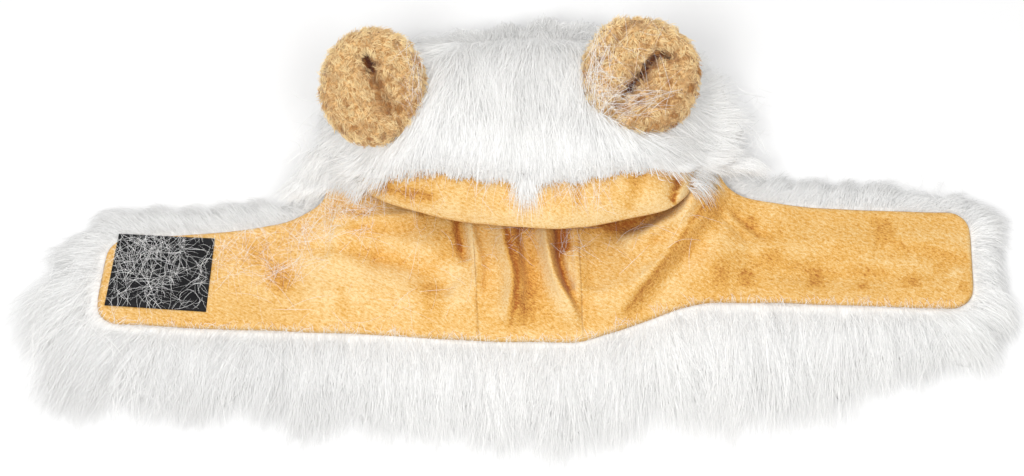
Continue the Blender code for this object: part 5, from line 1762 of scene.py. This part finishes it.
def stray_hairs(
    name, places, height, length, seed, heading=None, width=0.10, bow=0.14, dark=0.6, front_of=None
):
    """Loose hairs round some places: each row has x, y, half sizes and a number of hairs. They lie
    any way, or about a heading in degrees with its spread, on a height that is a function of x, y."""
    draw = np.random.default_rng(seed)
    counts = [row[4] for row in places]
    middle = np.repeat([row[:2] for row in places], counts, axis=0)
    half = np.repeat([row[2:4] for row in places], counts, axis=0)
    root = middle + draw.uniform(-1.0, 1.0, middle.shape) * half
    count = len(root)
    way = draw.uniform(0.0, 2 * math.pi, count)
    if heading is not None:
        way = draw.normal(math.radians(heading[0]), math.radians(heading[1]), count)
    size = draw.uniform(*length, count)
    t = np.linspace(-0.5, 0.5, STRAY_STEPS)[None]
    bend = draw.normal(0.0, bow, count)[:, None]
    along = size[:, None] * t
    aside = size[:, None] * bend * (t**2 * 2 + 0.3 * t**3)
    x = root[:, :1] + along * np.cos(way)[:, None] - aside * np.sin(way)[:, None]
    y = root[:, 1:] + along * np.sin(way)[:, None] + aside * np.cos(way)[:, None]
    z = height(x, y) + draw.uniform(*STRAY_ARCHES, count)[:, None] * (1 - (2 * t) ** 2) + STRAY_LOW
    paths = np.stack([x, y, z], axis=2)
    if front_of is not None:
        paths = paths[(y < front_of(x)).all(axis=1)]
        count = len(paths)
    taper = np.sin(np.linspace(0.12, 1.0, STRAY_STEPS) * math.pi) ** 0.5
    taper[-1] = 0.0
    widths = draw.uniform(*STRAY_WIDTHS, count)[:, None] * width / 2 * taper[None]
    sides = across(paths, draw.uniform(-HAIR_ROLL, HAIR_ROLL, count))
    obj = ribbons(name, paths, widths, sides, shade=draw.uniform(dark, 1.0, count))
    finish_piece(obj, fur_hair, "white_fur")


def over_patch(x, y):
    """Height of the hook tape, or of the lining beside it."""
    on = (x > PATCH_LEFT) & (x < PATCH_RIGHT) & (y > PATCH_FRONT) & (y < PATCH_BACK)
    return np.where(on, TAPE_BOTTOM + TAPE_BASE + HOOK_HEIGHT, lining_top(x, y) + 0.2)


def over_crown(x, y):
    """Height of the brow's roll and the dome, or of the lining beside them."""
    share = on_map(dome_share, x, y, 1.0)
    mouth_near = crown_mouth[on_map(dome_index, x, y, 0).astype(int)]
    dome = on_map(dome_height, x, y, 0.0) + brow_swell(share, mouth_near) + 0.4
    return np.maximum(dome, lining_top(x, y) + 0.4)


def over_ears(x, y):
    """Height of an ear's face, or of the crown's pile beside it."""
    height = on_map(dome_height, x, y, 14.0) + 15.0
    for ear_x, ear_y, ear_z, width, tall, tilt_back in EAR_ROWS.values():
        back = math.radians(tilt_back)
        face = ear_z + (EAR_THICKNESS * 0.6 + math.cos(back) * (y - ear_y)) / math.sin(back)
        inside = ((x - ear_x) / (width / 2)) ** 2 + ((y - ear_y) / (tall / 2 * math.sin(back))) ** 2
        height = np.where(inside < 1.0, np.maximum(height, face), height)
    return height


def over_fur(x, y):
    """Height of the band's pile, falling away from the lining's edge."""
    away = np.maximum(front_edge(x) - y, LEFT_END - x)
    return np.interp(away, (-2.0, 8.0, 25.0, 50.0), (12.0, 12.5, 9.0, 2.0))


def behind_band(x, y):
    """Height of the pile behind the straps."""
    return np.interp(y - back_edge(x), (0.0, 8.0, 20.0), (11.0, 8.0, 1.5))


def behind_crown(x, y):
    """Height of the crown's fringe, falling away from the dome."""
    away = np.hypot((x - CROWN_CENTRE[0]) / 92.0, (y - CROWN_CENTRE[1]) / 50.0)
    return np.interp(away, (0.8, 1.0, 1.35), (34.0, 20.0, 5.0))


def over_edge(x, y):
    """Height of the lining, or of the pile next to its front edge."""
    pile = np.interp(front_edge(x) - y, (0.0, 4.0), (12.0, 11.0))
    return np.where(y > front_edge(x), lining_top(x, y), pile)


def over_lining(x, y):
    """Height just over the lining's nap."""
    return lining_top(x, y) + 0.3


# %% Where the strays lie, in rows of x, y, half sizes and a number of hairs
PATCH_STRAYS = ((-146.0, -24.0, 20.0, 17.0, 250), (-150.0, -16.0, 14.0, 10.0, 90))
PATCH_LONG_STRAYS = ((-146.0, -22.0, 14.0, 12.0, 36),)
LINING_STRAYS = (
    (-104.0, -14.0, 20.0, 16.0, 190),
    (-72.0, -2.0, 16.0, 10.0, 150),
    (-60.0, -30.0, 50.0, 18.0, 40),
    (2.0, -12.0, 12.0, 8.0, 26),
    (26.0, -10.0, 6.0, 8.0, 26),
    (60.0, -12.0, 20.0, 10.0, 16),
)
BROW_STRAYS = (
    (14.0, 2.0, 16.0, 10.0, 70),
    (30.0, 2.0, 12.0, 10.0, 50),
    (-50.0, 6.0, 12.0, 6.0, 40),
    (0.0, 0.0, 45.0, 8.0, 30),
)
EAR_LOW_STRAYS = ((46.0, 28.0, 18.0, 5.0, 70), (36.0, 34.0, 6.0, 10.0, 30))
EAR_SIDE_STRAYS = ((35.0, 42.0, 6.0, 12.0, 50), (-39.0, 36.0, 5.0, 15.0, 60), (50.0, 46.0, 16.0, 14.0, 24))
FUR_STRAYS = (
    (-120.0, -66.0, 50.0, 14.0, 330),
    (-20.0, -72.0, 50.0, 14.0, 330),
    (80.0, -68.0, 50.0, 16.0, 330),
    (150.0, -54.0, 30.0, 12.0, 140),
)
END_STRAYS = ((-186.0, -50.0, 14.0, 20.0, 160),)
# Curled hairs that stand out behind the straps and the crown, down to a dark grey as painted shade
BACK_STRAYS = [
    (x, float(back_edge(x)) + 10.0, 9.0, 4.0, 9) for x in (*range(-160, -90, 12), *range(100, 190, 12))
]
CREST_STRAYS = ((0.0, 84.0, 45.0, 3.0, 40), (98.0, 44.0, 8.0, 18.0, 40), (-84.0, 40.0, 6.0, 16.0, 24))
CROWN_STRAYS = ((5.0, 30.0, 32.0, 30.0, 320),)
# Short hairs across the lining's front edge
EDGE_STRAYS = [(x, float(front_edge(x)) - 0.4, 8.0, 1.4, 26) for x in np.arange(-160.0, 186.0, 15.0)]
STRAYS = (
    # name, places, height, lengths, seed, and what differs from a plain stray
    ("back", BACK_STRAYS, behind_band, (8, 20), 111, dict(heading=(80, 50), width=0.2, bow=0.5, dark=0)),
    ("crest", CREST_STRAYS, behind_crown, (9, 20), 112, dict(heading=(70, 60), width=0.2, bow=0.5, dark=0)),
    ("patch", PATCH_STRAYS, over_patch, (4, 12), 101, dict(bow=0.3, width=0.09, dark=0.9)),
    ("patch_long", PATCH_LONG_STRAYS, over_patch, (14, 32), 108, dict(width=0.08)),
    ("edge", EDGE_STRAYS, over_edge, (3, 8), 109, dict(heading=(270, 40), width=0.09)),
    ("end", END_STRAYS, over_fur, (20, 44), 110, dict(heading=(236, 22), width=0.14)),
    ("ear_low", EAR_LOW_STRAYS, over_ears, (10, 26), 104, dict(heading=(190, 25), width=0.09)),
    ("ear_side", EAR_SIDE_STRAYS, over_ears, (8, 20), 105, dict(heading=(280, 35), width=0.08)),
    ("fur", FUR_STRAYS, over_fur, (22, 52), 106, dict(heading=(268, 22), width=0.15, front_of=front_edge)),
    ("crown", CROWN_STRAYS, over_ears, (14, 32), 107, dict(heading=(270, 22), width=0.13)),
    ("lining", LINING_STRAYS, over_lining, (6, 22), 102, dict(width=0.08)),
    ("brow", BROW_STRAYS, over_crown, (6, 16), 103, dict(heading=(270, 45), width=0.08)),
)
for name, places, height, length, seed, ways in STRAYS:
    stray_hairs("strays_" + name, places, height, length, seed, **ways)
